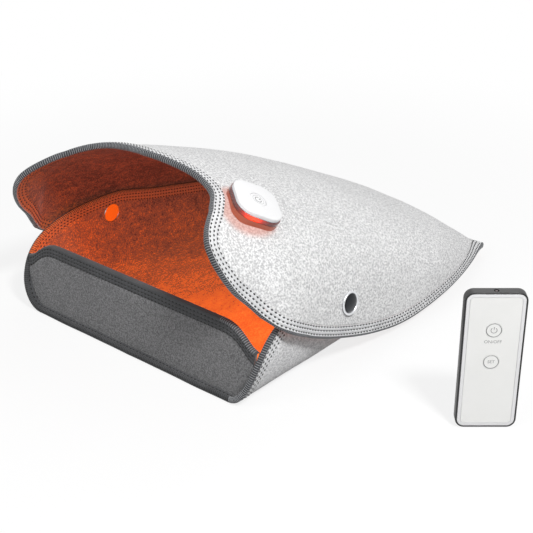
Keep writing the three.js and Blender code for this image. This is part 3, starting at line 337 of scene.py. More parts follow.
@dataclass(frozen=True)
class WarmPile(Finish):
    """Short pile of the heated lining, with a painted glow: its colour brightens and emits light low at
    the front, though the pile is no lamp.
    """

    # lift, glow and slope set the painted glow: its level, its emission and its rise towards +x.
    lift: float = 0.0
    glow: float = 0.80
    ribs: float = 0.0
    slope: float = 1.9

    def painted(self, paint: Paint) -> None:
        """Builds the painted glow's colours over mottled pile, or over the same tape's ribs.

        Args:
            paint: The new material.
        """
        x, y, z = paint.axes()
        # Painted light: the glow level rises towards +x, the front and the floor, and the colour is also
        # emitted.
        painted_glow_level = x * self.slope - y * 0.88 - z * 1.6 + (0.57 + self.lift)
        pile = paint.noise(600.0, 2.0, rough=0.8)
        brushed = paint.noise(250.0, 3.0, (1.0, 0.4, 0.7), 0.65, (0.2, 0.1, 0.6))
        mottle = paint.noise(26.0, 4.0, (1.0, 0.6, 1.0), 0.65, (0.0, 0.0, 0.4))
        if self.ribs:
            run, _ = paint.along()
            value = painted_glow_level + (pile - 0.5) * 0.6 + (run * (2 * math.pi / 0.0016)).sine() * self.ribs
        else:
            value = painted_glow_level + (mottle - 0.5) * 0.46 + (brushed - 0.5) * 0.6 + (pile - 0.5) * 1.3
        colour = paint.ramp(value, [
            (0.0, rgb(80, 42, 33)), (0.14, rgb(112, 60, 46)), (0.29, rgb(136, 68, 44)),
            (0.45, rgb(166, 78, 42)), (0.62, rgb(216, 98, 42)), (0.80, rgb(240, 108, 42)),
            (1.0, rgb(255, 130, 56))])
        height = pile * 0.6 + brushed * 0.4
        paint.set(base_color=colour, emission_color=colour, emission_strength=self.glow,
                  roughness=0.88 + pile * 0.12, sheen_weight=0.08, sheen_roughness=0.5,
                  specular_ior_level=0.08, normal=paint.relief(height, 0.0010, 0.9))


@dataclass(frozen=True)
class Tape(Finish):
    """Woven edge tape: fine ribs across its run."""

    light: Colour
    dark: Colour
    glow: float = 0.0

    def painted(self, paint: Paint) -> None:
        """Builds the ribs on the strip's own map, worn a little along the run.

        Args:
            paint: The new material.
        """
        run, across = paint.along()
        ribs = (run * (2 * math.pi / 0.0012)).sine() * 0.5 + 0.5
        warp = (across * (2 * math.pi / 0.0016)).sine() * 0.5 + 0.5
        wear = paint.noise(60.0, 3.0)
        tone = ribs * 0.45 + warp * 0.2 + (wear - 0.5) * 0.9 + 0.2
        colour = paint.mix(tone.clamped(), self.dark, self.light)
        if self.glow:
            paint.set(emission_color=colour, emission_strength=self.glow)
        paint.set(base_color=colour, roughness=0.8 + wear * 0.15, sheen_weight=0.2,
                  specular_ior_level=0.2,
                  normal=paint.relief(ribs * 0.6 + warp * 0.4, 0.00022, 0.7))


@dataclass(frozen=True)
class Thread(Finish):
    """Twisted sewing thread."""

    colour: Colour
    glow: float = 0.0

    def painted(self, paint: Paint) -> None:
        """Builds a little tone change from stitch to stitch and a fine twist.

        Args:
            paint: The new material.
        """
        tone = paint.noise(180.0, 2.0)
        colour = paint.mix(tone, tuple(c * 0.6 for c in self.colour),
                           tuple(min(1.0, c * 1.3 + 0.01) for c in self.colour))
        # Painted light: glow makes the thread emit its colour, though it is no lamp.
        if self.glow:
            paint.set(emission_color=colour, emission_strength=self.glow)
        paint.set(base_color=colour, roughness=0.55 + tone * 0.2,
                  normal=paint.relief(paint.noise(1500.0, 1.0), 0.0001, 0.5))


@dataclass(frozen=True)
class Metal(Finish):
    """Plated or brushed metal."""

    colour: Colour
    rough: float = 0.1
    scratch: float = 0.06

    def painted(self, paint: Paint) -> None:
        """Builds fine scratches and a slight change of tone.

        Args:
            paint: The new material.
        """
        fine = paint.noise(900.0, 3.0, (1.0, 0.12, 1.0))
        stain = paint.noise(120.0, 3.0)
        colour = paint.mix(stain.eased(0.35, 0.75) * 0.35, self.colour,
                           tuple(c * 0.72 for c in self.colour))
        paint.set(base_color=colour, metallic=1.0,
                  roughness=fine * self.scratch + stain * 0.05 + self.rough,
                  normal=paint.relief(fine, 0.00004, 0.3))


@dataclass(frozen=True)
class Plastic(Finish):
    """Moulded plastic with a fine spark-eroded grain."""

    colour: Colour
    rough: float = 0.35
    grain: float = 0.00004
    coat: float = 0.0
    glow: float = 0.0

    def painted(self, paint: Paint) -> None:
        """Builds the grain, faint flow marks and handling gloss.

        Args:
            paint: The new material.
        """
        grain = paint.noise(1400.0, 2.0)
        flow = paint.noise(26.0, 3.0)
        colour = paint.mix(flow, tuple(c * 0.93 for c in self.colour), self.colour)
        # Painted light: glow makes the part emit its colour, though it is no lamp.
        if self.glow:
            paint.set(emission_color=colour, emission_strength=self.glow)
        paint.set(base_color=colour, roughness=flow * 0.12 + grain * 0.05 + self.rough,
                  coat_weight=self.coat, coat_roughness=0.08,
                  normal=paint.relief(grain, self.grain, 0.4))


@dataclass(frozen=True)
class SmokedLens(Finish):
    """Dark clear plastic that a red lamp lights up in one stretch."""

    lamp: Sequence[float]

    def painted(self, paint: Paint) -> None:
        """Builds the lamp's red spot, fading through deep red to smoke.

        Args:
            paint: The new material.
        """
        reach = paint.node("ShaderNodeVectorMath", {"operation": "DISTANCE"}, {
            0: paint.place(), 1: tuple(self.lamp)}, 1)
        swirl = paint.noise(140.0, 2.0)
        near = reach + (swirl - 0.5) * 0.006
        colour = paint.ramp(1 - near.eased(0.001, 0.026), [
            (0.0, rgb(104, 52, 48)), (0.3, rgb(112, 46, 40)), (0.55, rgb(168, 44, 30)),
            (0.78, rgb(226, 42, 18)), (1.0, rgb(255, 60, 22))])
        shine = paint.ramp(1 - near.eased(0.001, 0.017), [
            (0.0, (0.012, 0.003, 0.003)), (0.4, (0.14, 0.012, 0.006)), (1.0, (1.0, 0.05, 0.012))])
        paint.set(base_color=colour, emission_color=shine, emission_strength=1.2,
                  roughness=0.14 + swirl * 0.06, coat_weight=0.5, coat_roughness=0.05,
                  normal=paint.relief(swirl, 0.00006, 0.3))


@dataclass(frozen=True)
class DarkMirror(Finish):
    """Snap cap's domed face: metal whose tone is a painted reflection, dark above and paler towards its
    lower side.
    """

    centre: Sequence[float]
    radius: float

    def painted(self, paint: Paint) -> None:
        """Builds the dome's tone by height: a painted reflection of a bright room, pale low down and
        dark above.

        Args:
            paint: The new material.
        """
        _, _, z = paint.axes()
        level = (z - (self.centre[2] - self.radius)) / (2 * self.radius)
        wear = paint.noise(420.0, 3.0)
        # Painted reflection: pale near the bottom, dark above.
        colour = paint.ramp(level + (wear - 0.5) * 0.08, [
            (0.0, rgb(120, 120, 122)), (0.13, rgb(150, 150, 152)), (0.22, rgb(74, 75, 78)),
            (0.52, rgb(50, 51, 54)), (1.0, rgb(40, 41, 44))])
        paint.set(base_color=colour, metallic=0.85, roughness=wear * 0.08 + 0.16,
                  normal=paint.relief(wear, 0.00003, 0.3))


@dataclass(frozen=True)
class Film(Finish):
    """Heater film with printed zigzag tracks."""

    def painted(self, paint: Paint) -> None:
        """Builds dark film with copper tracks.

        Args:
            paint: The new material.
        """
        x, y, _ = paint.axes()
        wave = (x * 420.0 + (y * 260.0).sine() * 1.6).sine()
        track = wave.eased(0.55, 0.75)
        colour = paint.mix(track, rgb(52, 50, 50), rgb(176, 112, 70))
        paint.set(base_color=colour, roughness=track * 0.15 + 0.42, metallic=track * 0.6,
                  normal=paint.relief(track, 0.00005, 0.5))


# The cover's felt carries the painted pool of red light round the controller.
FELT_LIGHT = Felt("light_felt", rgb(250, 250, 250), rgb(194, 194, 195), rgb(184, 184, 186),
                  glow=(0.1150, -0.1660, 0.1740))
FELT_SIDE = Felt("side_felt", rgb(248, 248, 249), rgb(196, 196, 198), rgb(180, 180, 182))
FELT_DARK = Felt("dark_felt", rgb(140, 140, 141), rgb(94, 94, 96), rgb(84, 84, 86), grain=760.0)
# Painted glow on the lining; the cover's lining has a lower, flatter one, so it stays darker as painted
# shade.
LINING = WarmPile("warm_pile")
LINING_COVER = WarmPile("warm_pile_of_cover", -0.29, 0.55, slope=0.5)
TAPE_LIGHT = Tape("light_tape", rgb(250, 250, 251), rgb(190, 191, 193))
# The binding's nose: a darker copy of the light tape, painted shade on the edge-on fold.
TAPE_NOSE_SHADED = Tape("grey_tape_painted_shade", rgb(84, 85, 88), rgb(46, 47, 50))
TAPE_DARK = Tape("dark_tape", rgb(92, 93, 95), rgb(58, 59, 61))
# The binding's inner faces carry the same painted glow.
TAPE_WARM = WarmPile("warm_tape", 0.11, 0.8, 0.10)
TAPE_WARM_COVER = WarmPile("warm_tape_of_cover", -0.14, 0.6, 0.10, 0.5)
THREAD_BLACK = Thread("black_thread", rgb(10, 10, 11))
THREAD_PALE = Thread("pale_thread", rgb(158, 160, 163))
# The inner stitches glow a little with the lining: painted light.
THREAD_RUST = Thread("rust_thread", rgb(62, 22, 16), glow=0.15)
CHROME = Metal("chrome_plate", rgb(232, 233, 236), 0.22)
STEEL = Metal("bright_steel", rgb(176, 178, 180), 0.22, 0.12)
# Snap back's face: orange with a glow, a painted reflection of the glowing lining in its plated face.
ORANGE_SNAP_REFLECTION = Plastic("orange_snap_painted_reflection", rgb(255, 112, 26), 0.32, coat=0.4, glow=0.55)
WHITE_SHELL = Plastic("white_shell", rgb(241, 241, 242), 0.3, coat=0.15)
BLACK_SHELL = Plastic("black_shell", rgb(30, 30, 31), 0.34)
SMOKE_SHELL = Plastic("smoke_shell", rgb(64, 46, 48), 0.2, coat=0.4)
# The controller's pan glows a little: painted light, as the pan is no lamp.
RUST_PAN = Plastic("rust_pan", rgb(172, 84, 58), 0.25, coat=0.4, glow=0.12)
OVERLAY = Plastic("grey_overlay_print", rgb(251, 251, 249), 0.5)
PRINT_GREY = Plastic("grey_ink", rgb(158, 158, 158), 0.6)
BOARD = Plastic("circuit_board", rgb(30, 92, 52), 0.5)
STIFFENER = Plastic("plain_board", rgb(206, 198, 184), 0.8)
RIM_GREY = Plastic("grey_rim", rgb(168, 178, 186), 0.3, coat=0.3)
FILM = Film("heater_film_print")


# Shapes


@dataclass(frozen=True)
class Table:
    """Smooth curve through given entries of place and value."""

    entries: Outline

    def at(self, place: Array) -> Array:
        """Gives the values at many places.

        Args:
            place: The places.

        Returns:
            Their values.
        """
        xs, vs = np.array(self.entries).T
        place = np.clip(place, xs[0], xs[-1])
        low, high = np.r_[0, np.arange(len(xs) - 1)], np.r_[np.arange(1, len(xs)), len(xs) - 1]
        slope = (vs[high] - vs[low]) / (xs[high] - xs[low])
        i = np.clip(np.searchsorted(xs, place, side="left") - 1, 0, len(xs) - 2)
        run = xs[i + 1] - xs[i]
        t = (place - xs[i]) / run
        blend = t * t * (3 - 2 * t)
        return (vs[i] * (1 - blend) + vs[i + 1] * blend
                + run * (slope[i] * t * (1 - t) ** 2 - slope[i + 1] * t * t * (1 - t)))


def smooth_run(controls: Sequence[Sequence[float]], fineness: int) -> Array:
    """Runs a centripetal curve through control places.

    Args:
        controls: The places.
        fineness: How many points the whole curve has, less one.

    Returns:
        The curve's points, evenly spaced in its own count.
    """
    p = np.array(controls, float)
    p = np.vstack([2 * p[0] - p[1], p, 2 * p[-1] - p[-2]])
    spans = len(p) - 3
    at = np.linspace(0, spans, fineness + 1)
    i = np.minimum(at.astype(int), spans - 1)
    t = (at - i)[:, None]
    x0, x1, x2, x3 = (p[i + k] for k in range(4))
    d0, d1, d2 = (np.sqrt(np.linalg.norm(b - a, axis=1))[:, None]
                  for a, b in ((x0, x1), (x1, x2), (x2, x3)))
    t1 = ((x1 - x0) / d0 - (x2 - x0) / (d0 + d1) + (x2 - x1) / d1) * d1
    t2 = ((x2 - x1) / d1 - (x3 - x1) / (d1 + d2) + (x3 - x2) / d2) * d1
    return (x1 + t1 * t + (3 * (x2 - x1) - 2 * t1 - t2) * t ** 2
            + (2 * (x1 - x2) + t1 + t2) * t ** 3)


@dataclass(frozen=True)
class Stack:
    """Depths of the cloth layers below a sheet's outer face."""

    felt: float = 0.0024
    middle: float = 0.0004
    lining: float = 0.0020
    gap: float = 0.0003
    grip: float = 0.0009

    @property
    def middle_top(self) -> float:
        """Depth of the middle layer's top."""
        return self.felt + self.gap

    @property
    def lining_top(self) -> float:
        """Depth of the lining's hidden face."""
        return self.middle_top + self.middle + self.gap

    @property
    def whole(self) -> float:
        """Thickness of all the layers."""
        return self.lining_top + self.lining

    @property
    def felt_depths(self) -> tuple[tuple[float, float], tuple[float, float]]:
        """Depths of the felt's two faces in open cloth, and under the binding."""
        return (0.0, self.felt), (self.grip, (self.whole - self.gap) / 2)

    @property
    def lining_depths(self) -> tuple[tuple[float, float], tuple[float, float]]:
        """Depths of the lining's two faces in open cloth, and under the binding."""
        return (self.lining_top, self.whole), ((self.whole + self.gap) / 2, self.whole - self.grip)


CLOTH = Stack()
BOARDED = Stack(middle=0.0014)


class Form:
    """A curved form on which cloth lies, by two numbers of a place."""

    probe = (0.00005, 0.00005)
    limit = math.inf
    rear = 0.220

    def point(self, place: Array) -> Array:
        """Gives the points at places."""
        raise NotImplementedError

    def outward(self, points: Array) -> Array:
        """Gives rough directions away from the feet."""
        raise NotImplementedError

    def tangents(self, place: Array) -> tuple[Array, Array]:
        """Gives how far the point moves with each number of the place.

        Args:
            place: Places, one to a row.

        Returns:
            Two rows of vectors for each place.
        """
        u, v = self.probe
        low, high = place.copy(), place.copy()
        low[:, 0] = np.maximum(place[:, 0] - u, -self.limit)
        high[:, 0] = np.minimum(place[:, 0] + u, self.limit)
        along_u = (self.point(high) - self.point(low)) / (high - low)[:, :1]
        step = np.array([0, v])
        return along_u, (self.point(place + step) - self.point(place - step)) / (2 * v)

    def normals(self, place: Array) -> Array:
        """Gives the outward normals at places, upright on the rear line.

        Args:
            place: Places, one to a row.

        Returns:
            Unit normals.
        """
        along_u, along_v = self.tangents(place)
        normal = np.cross(along_u, along_v)
        normal /= np.linalg.norm(normal, axis=1)[:, None]
        turned = (normal * self.outward(self.point(place))).sum(1) < 0
        normal[turned] *= -1
        edge = np.clip((place[:, 1] - (self.rear - 0.004)) / 0.004, 0, 1)[:, None]
        upright = np.zeros_like(normal)
        upright[:, 2] = np.sign(normal[:, 2])
        normal = normal * (1 - edge) + upright * edge
        return normal / np.linalg.norm(normal, axis=1)[:, None]

    def moved(self, place: Array, offset: Array) -> Array:
        """Moves places over the form by real offsets, as near as its tangents allow.

        Args:
            place: Places, one to a row.
            offset: How far each moves, in metres.

        Returns:
            The new places.
        """
        along_u, along_v = self.tangents(place)
        a, b, c = ((p * q).sum(1) for p, q in
                   ((along_u, along_u), (along_u, along_v), (along_v, along_v)))
        p, q = (along_u * offset).sum(1), (along_v * offset).sum(1)
        scale = a * c - b * b
        step = np.stack([(p * c - q * b) / scale, (q * a - p * b) / scale], 1)
        result = place + step
        result[:, 0] = np.clip(result[:, 0], -self.limit, self.limit)
        result[:, 1] = np.minimum(result[:, 1], self.rear)
        return result


@dataclass(frozen=True)
class TroughForm(Form):
    """Outside of the trough: a flat footing whose sides turn up and slightly in."""

    depth: float = 0.440
    footing: float = 0.276
    corner_width: float = 0.032
    corner_height: float = 0.2817 * 0.213
    crest: float = 0.4225 * 0.213
    edge: Outline = (
        (0.00, 0.000), (0.11, 0.000), (0.29, 0.006), (0.44, 0.017), (0.59, 0.033),
        (0.72, 0.055), (0.82, 0.083), (0.92, 0.130), (0.985, 0.200), (1.00, 0.273),
        (0.98, 0.335), (0.90, 0.400), (0.795, 0.480), (0.69, 0.580), (0.58, 0.680),
        (0.44, 0.760), (0.27, 0.830), (0.11, 0.900), (0.02, 0.960), (0.00, 1.000))

    def _section(self) -> tuple[Array, Array, Array]:
        """Gives lengths, sideways reach and height along the turned-up side.

        Returns:
            The three, from the footing's side up.
        """
        turn = np.linspace(0, 0.75 * math.pi, 241)
        x, z = self.corner_width * np.sin(turn), self.corner_height * (1 - np.cos(turn))
        return np.r_[0, np.cumsum(np.hypot(np.diff(x), np.diff(z)))], x, z

    def across_at_height(self, height: Array) -> Array:
        """Gives the distance across the cloth at heights of the wall.

        Args:
            height: Heights over the footing.

        Returns:
            Distances from the middle.
        """
        turn = np.arccos(1 - np.asarray(height) / self.corner_height)
        length, _, _ = self._section()
        return self.footing / 2 + np.interp(turn, np.linspace(0, 0.75 * math.pi, 241), length)

    def point(self, place: Array) -> Array:
        """Gives the points at distances across the cloth and along it.

        Args:
            place: Places, one to a row.

        Returns:
            The points.
        """
        length, x, z = self._section()
        beyond = np.maximum(0, np.abs(place[:, 0]) - self.footing / 2)
        flat = np.minimum(np.abs(place[:, 0]), self.footing / 2)
        return np.stack([np.sign(place[:, 0]) * (flat + np.interp(beyond, length, x)),
                         place[:, 1], np.interp(beyond, length, z)], 1)

    def outward(self, points: Array) -> Array:
        """Points down and to the sides, away from the hollow.

        Args:
            points: Places on the form.

        Returns:
            A direction at each place.
        """
        half = self.footing / 2 + self.corner_width
        return np.stack([points[:, 0] / half, 0 * points[:, 1],
                         points[:, 2] / self.corner_height - 1], 1)

    def edge_run(self) -> Array:
        """Gives the free edge from the middle of the front to the right rear tip.

        Returns:
            Places along it.
        """
        height, share = np.array(self.edge).T
        wall = np.stack([self.across_at_height(height * self.crest),
                         (share - 0.5) * self.depth], 1)
        front = -self.depth / 2
        start = [[0, front], [self.footing / 4, front]]
        return smooth_run([*start, *wall.tolist()], 1600)


@dataclass(frozen=True)
class CoverForm(Form):
    """Outside of the cover: a full-shouldered arch that falls towards the rear fold."""

    depth: float = 0.440
    height: float = 0.213
    half: float = 0.1808
    crest: Table = Table((
        (-0.05, 1.000), (0.086, 0.990), (0.168, 0.937), (0.270, 0.864), (0.382, 0.784),
        (0.498, 0.693), (0.623, 0.575), (0.759, 0.441), (0.880, 0.310), (0.955, 0.190),
        (1.000, 0.0676)))
    hem: Table = Table((
        (-0.05, 0.258), (0.034, 0.258), (0.068, 0.268), (0.102, 0.282), (0.136, 0.287),
        (0.170, 0.250), (0.205, 0.216), (0.273, 0.157), (0.341, 0.109), (0.409, 0.073),
        (0.477, 0.049), (0.545, 0.042), (0.614, 0.050), (0.682, 0.062), (0.750, 0.069),
        (0.818, 0.074), (0.886, 0.070), (0.955, 0.068), (1.000, 0.0676)))
    width: Table = Table((
        (-0.05, 0.872), (0.045, 0.872), (0.068, 0.905), (0.091, 0.950), (0.136, 0.992),
        (0.205, 1.000), (0.273, 1.000), (0.409, 1.014), (0.545, 1.028), (0.682, 1.024),
        (0.750, 0.997), (0.818, 0.943), (0.886, 0.863), (0.955, 0.773), (1.000, 0.712)))
    roundness: Table = Table((
        (-0.05, 3.5), (0.034, 3.5), (0.057, 3.2), (0.095, 2.65), (0.136, 2.45), (0.205, 2.7),
        (0.273, 3.0), (0.455, 3.1), (0.636, 3.0), (0.818, 2.7), (0.909, 2.5), (1.000, 2.5)))
    flare: Table = Table((
        (-0.05, 0.015), (0.000, 0.016), (0.016, 0.028), (0.045, 0.080), (0.068, 0.090),
        (0.084, 0.075), (0.102, 0.050), (0.136, 0.010), (0.170, 0.000), (0.682, 0.000),
        (0.750, 0.008), (0.818, 0.030), (0.886, 0.062), (0.955, 0.095), (1.000, 0.120)))
    edge: Outline = (
        (1.000, 1.000), (1.000, 0.900), (1.000, 0.760), (1.000, 0.620), (1.000, 0.480),
        (1.000, 0.340), (1.000, 0.220), (1.000, 0.162), (0.993, 0.138), (0.980, 0.124),
        (0.9635, 0.112), (0.948, 0.101), (0.923, 0.084), (0.897, 0.068), (0.845, 0.045),
        (0.812, 0.032), (0.770, 0.016), (0.708, -0.009), (0.648, -0.025), (0.587, -0.034),
        (0.534, -0.036), (0.481, -0.030), (0.429, -0.009), (0.388, 0.020), (0.352, 0.050),
        (0.310, 0.077), (0.250, 0.093), (0.180, 0.098), (0.100, 0.095), (0.000, 0.086))
    probe = (0.001, 0.00005)
    limit = 1.0
    reach = 0.995

    def point(self, place: Array) -> Array:
        """Gives the points at turns from the crest to the hem and depths.

        Args:
            place: Places, one to a row.

        Returns:
            The points.
        """
        share = place[:, 1] / self.depth + 0.5
        drop = np.cos(np.minimum(np.abs(place[:, 0]), 1) * math.pi / 2)
        drop = np.clip(drop, 0, 1)
        hem, crest = self.hem.at(share) * self.height, self.crest.at(share) * self.height
        out = (self.width.at(share) * self.half * np.sqrt(1 - drop ** self.roundness.at(share))
               + self.flare.at(share) * self.half * (1 - drop) ** 2)
        return np.stack([np.sign(place[:, 0]) * out, place[:, 1], hem + (crest - hem) * drop], 1)

    def outward(self, points: Array) -> Array:
        """Gives directions up and to the sides."""
        return np.stack([points[:, 0] / self.half, 0 * points[:, 1],
                         points[:, 2] / self.height], 1)

    def edge_run(self) -> Array:
        """Gives the free edge from the mouth's middle to the right rear tip.

        Returns:
            Places along it.
        """
        turn, share = np.array(self.edge).T
        run = smooth_run(np.stack([turn / self.reach, share], 1), (len(turn)) * 60)
        return np.stack([np.minimum(run[:, 0] * self.reach, self.reach),
                         (run[:, 1] - 0.5) * self.depth], 1)[::-1]


def evened(form: Form, run: Array, count: int) -> Array:
    """Spaces places evenly, by real length, along a run over a form.

    Args:
        form: The form.
        run: Places along the run.
        count: How many places to give.

    Returns:
        The places.
    """
    points = form.point(run)
    reached = np.r_[0, np.cumsum(np.linalg.norm(np.diff(points, axis=0), axis=1))]
    goal = np.linspace(0, reached[-1], count)
    return np.stack([np.interp(goal, reached, run[:, k]) for k in range(2)], 1)


# Meshes


class Bench:
    """Bench work: new meshes, and Blender's own modelling tools by operator."""

    @staticmethod
    def clear() -> None:
        """Leaves edit mode and selects nothing."""
        if bpy.context.mode != "OBJECT":
            bpy.ops.object.mode_set(mode="OBJECT")
        bpy.ops.object.select_all(action="DESELECT")

    @staticmethod
    def new(name: str, points: Array, faces: Sequence[Sequence[int]],
            smooth: float | None = 60.0) -> Piece:
        """Makes an object of points and faces, with normals facing out.

        Args:
            name: The piece's name.
            points: Its points.
            faces: Its faces by point numbers.
            smooth: Angle in degrees under which edges are shaded smooth.

        Returns:
            The object.
        """
        mesh = bpy.data.meshes.new(name)
        mesh.from_pydata(np.asarray(points, float).tolist(), [], [list(f) for f in faces])
        mesh.update()
        made = bpy.data.objects.new(name, mesh)
        bpy.context.scene.collection.objects.link(made)
        build = bmesh.new()
        build.from_mesh(mesh)
        bmesh.ops.recalc_face_normals(build, faces=build.faces)
        if build.calc_volume(signed=True) < 0:
            bmesh.ops.reverse_faces(build, faces=build.faces)
        build.to_mesh(mesh)
        build.free()
        if smooth:
            Bench.smoothed(made, smooth)
        return made

    @staticmethod
    def opened(name: str) -> Piece:
        """Names the new primitive and opens it in edit mode, all of it selected.

        Args:
            name: The piece's name.

        Returns:
            The piece.
        """
        made = bpy.context.object
        made.name = made.data.name = name
        bpy.ops.object.mode_set(mode="EDIT")
        Bench.all()
        return made

    @staticmethod
    def all() -> None:
        """Selects all of the piece that is open in edit mode."""
        bpy.ops.mesh.select_all(action="SELECT")

    @staticmethod
    def closed(piece: Piece, smooth: float) -> Piece:
        """Merges doubles, turns all faces out and leaves edit mode.

        Args:
            piece: The piece open in edit mode.
            smooth: Angle in degrees under which edges are smooth.

        Returns:
            The same piece.
        """
        Bench.all()
        bpy.ops.mesh.remove_doubles(threshold=1e-6)
        bpy.ops.mesh.normals_make_consistent(inside=False)
        bpy.ops.object.mode_set(mode="OBJECT")
        Bench.smoothed(piece, smooth)
        return piece

    @staticmethod
    def smoothed(piece: Piece, angle: float = 35.0) -> None:
        """Shades a piece smooth under an angle."""
        Bench.select(piece)
        bpy.ops.object.shade_smooth_by_angle(angle=math.radians(angle))

    @staticmethod
    def select(piece: Piece) -> None:
        """Selects one piece alone and makes it active.

        Args:
            piece: The piece.
        """
        Bench.clear()
        piece.select_set(True)
        bpy.context.view_layer.objects.active = piece

    @staticmethod
    def pick(piece: Piece, kind: str, wanted: Callable[[object], bool]) -> None:
        """In edit mode, selects the faces, edges or points that pass a test.

        Args:
            piece: The piece in edit mode.
            kind: verts, edges or faces.
            wanted: The test.
        """
        build = bmesh.from_edit_mesh(piece.data)
        for group in (build.verts, build.edges, build.faces):
            for item in group:
                item.select = False
        for item in getattr(build, kind):
            if wanted(item):
                item.select = True
        build.select_flush(True)
        bmesh.update_edit_mesh(piece.data)

    @staticmethod
    def placed(piece: Piece, matrix: Matrix) -> Piece:
        """Puts a piece's own mesh in place and leaves its object at the origin.

        Args:
            piece: The piece.
            matrix: Where it goes.

        Returns:
            The piece.
        """
        Bench.clear()
        piece.data.transform(matrix @ piece.matrix_basis)
        piece.matrix_basis = Matrix.Identity(4)
        if matrix.determinant() < 0:
            piece.data.flip_normals()
        return piece

    @staticmethod
    def rounded_plate(name: str, width: float, height: float, corner: float, low: float,
                      high: float, bevel: float = 0.0, segments: int = 10,
                      both: bool = False) -> Piece:
        """Models a plate with round corners and a softened top edge.

        Args:
            name: The piece's name.
            width: Its width.
            height: Its height.
            corner: Radius of its corners.
            low: Height of its underside.
            high: Height of its top.
            bevel: Roundness of its top edge.
            segments: Faces round each corner.
            both: Whether its lower edge is rounded too.

        Returns:
            The plate, lying on its back about the origin.
        """
        Bench.clear()
        bpy.ops.mesh.primitive_plane_add(size=1.0, location=(0, 0, 0))
        made = Bench.opened(name)
        bpy.ops.transform.resize(value=(width, height, 1))
        bpy.ops.mesh.bevel(offset=corner, offset_type="OFFSET", segments=segments, profile=0.5,
                           affect="VERTICES", clamp_overlap=False)
        Bench.all()
        bpy.ops.transform.translate(value=(0, 0, low))
        bpy.ops.mesh.extrude_region_move(TRANSFORM_OT_translate={"value": (0, 0, high - low)})
        if bevel:
            middle = (low + high) / 2
            Bench.pick(made, "edges", lambda e: all(
                (v.co.z > middle or both) for v in e.verts)
                and abs(e.verts[0].co.z - e.verts[1].co.z) < 1e-7)
            bpy.ops.mesh.bevel(offset=bevel, segments=4, profile=0.5, affect="EDGES",
                               clamp_overlap=False)
        return Bench.closed(made, 40)

    @staticmethod
    def hollow(piece: Piece, tool: Piece) -> Piece:
        """Cuts a tool out of a piece and removes the tool.

        Args:
            piece: The piece.
            tool: The shape to cut away.

        Returns:
            The piece.
        """
        Bench.select(piece)
        cut = piece.modifiers.new("cut", "BOOLEAN")
        cut.operation, cut.object, cut.solver = "DIFFERENCE", tool, "EXACT"
        bpy.ops.object.modifier_apply(modifier=cut.name)
        bpy.data.objects.remove(tool)
        return piece

    @staticmethod
    def recess(piece: Piece, width: float, height: float, corner: float, low: float,
               high: float, segments: int) -> Piece:
        """Cuts a pocket or opening with round corners into a piece.

        Args:
            piece: The piece.
            width: Width of the opening.
            height: Its height.
            corner: Radius of its corners.
            low: Where it starts.
            high: Where it ends.
            segments: Faces round each corner.

        Returns:
            The piece.
        """
        return Bench.hollow(piece, Bench.rounded_plate("tool", width, height, corner, low, high,
                                                       segments=segments))

    @staticmethod
    def turned(name: str, profile: Sequence[tuple[float, float]], sides: int = 64,
               smooth: float = 40.0) -> Piece:
        """Turns a profile of radius and height round Z, by spin.

        Args:
            name: The piece's name.
            profile: Radii and heights, from the axis out and back to it or closed.
            sides: Faces round it.
            smooth: Angle under which edges are shaded smooth.

        Returns:
            The turned piece.
        """
        Bench.clear()
        bpy.ops.mesh.primitive_circle_add(vertices=3, radius=0.001, location=(0, 0, 0))
        made = Bench.opened(name)
        build = bmesh.from_edit_mesh(made.data)
        bmesh.ops.delete(build, geom=build.verts[:], context="VERTS")
        points = [build.verts.new((r, 0, z)) for r, z in profile]
        for a, b in zip(points, points[1:]):
            build.edges.new((a, b))
        if min(r for r, _ in (profile[0], profile[-1])) > 1e-9:
            build.edges.new((points[-1], points[0]))
        bmesh.update_edit_mesh(made.data)
        Bench.all()
        bpy.ops.mesh.spin(steps=sides, angle=2 * math.pi, center=(0, 0, 0), axis=(0, 0, 1))
        return Bench.closed(made, smooth)

    @staticmethod
    def lettering(name: str, words: str, size: float, thick: float) -> Piece:
        """Makes thin raised lettering centred on the origin.

        Args:
            name: The piece's name.
            words: The words.
            size: Height of the type.
            thick: How far it is raised.

        Returns:
            The lettering.
        """
        Bench.clear()
        bpy.ops.object.text_add(location=(0, 0, 0))
        text = bpy.context.object
        text.data.body = words
        text.data.align_x, text.data.align_y = "CENTER", "CENTER"
        text.data.size = size
        text.data.extrude = thick / 2
        text.data.resolution_u = 3
        bpy.ops.object.convert(target="MESH")
        made = bpy.context.object
        made.name = made.data.name = name
        return made


def finished(piece: Piece, finish: Finish | Sequence[Finish], body: str,
             stands_for: Sequence[str] = ()) -> Piece:
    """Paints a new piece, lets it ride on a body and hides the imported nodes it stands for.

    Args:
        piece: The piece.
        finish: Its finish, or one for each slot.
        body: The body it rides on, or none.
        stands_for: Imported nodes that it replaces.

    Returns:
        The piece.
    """
    piece.data.materials.clear()
    for one in (finish if isinstance(finish, (list, tuple)) else [finish]):
        piece.data.materials.append(one.make())
    if body:
        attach(piece, body)
    if stands_for:
        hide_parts(*stands_for)
    LOG.info("%s: %d faces", piece.name, len(piece.data.polygons))
    return piece


# Cloth


class Held(Enum):
    """How a sheet of cloth is held in the object."""

    FOLDED = "folded"
    STRETCHED = "stretched"


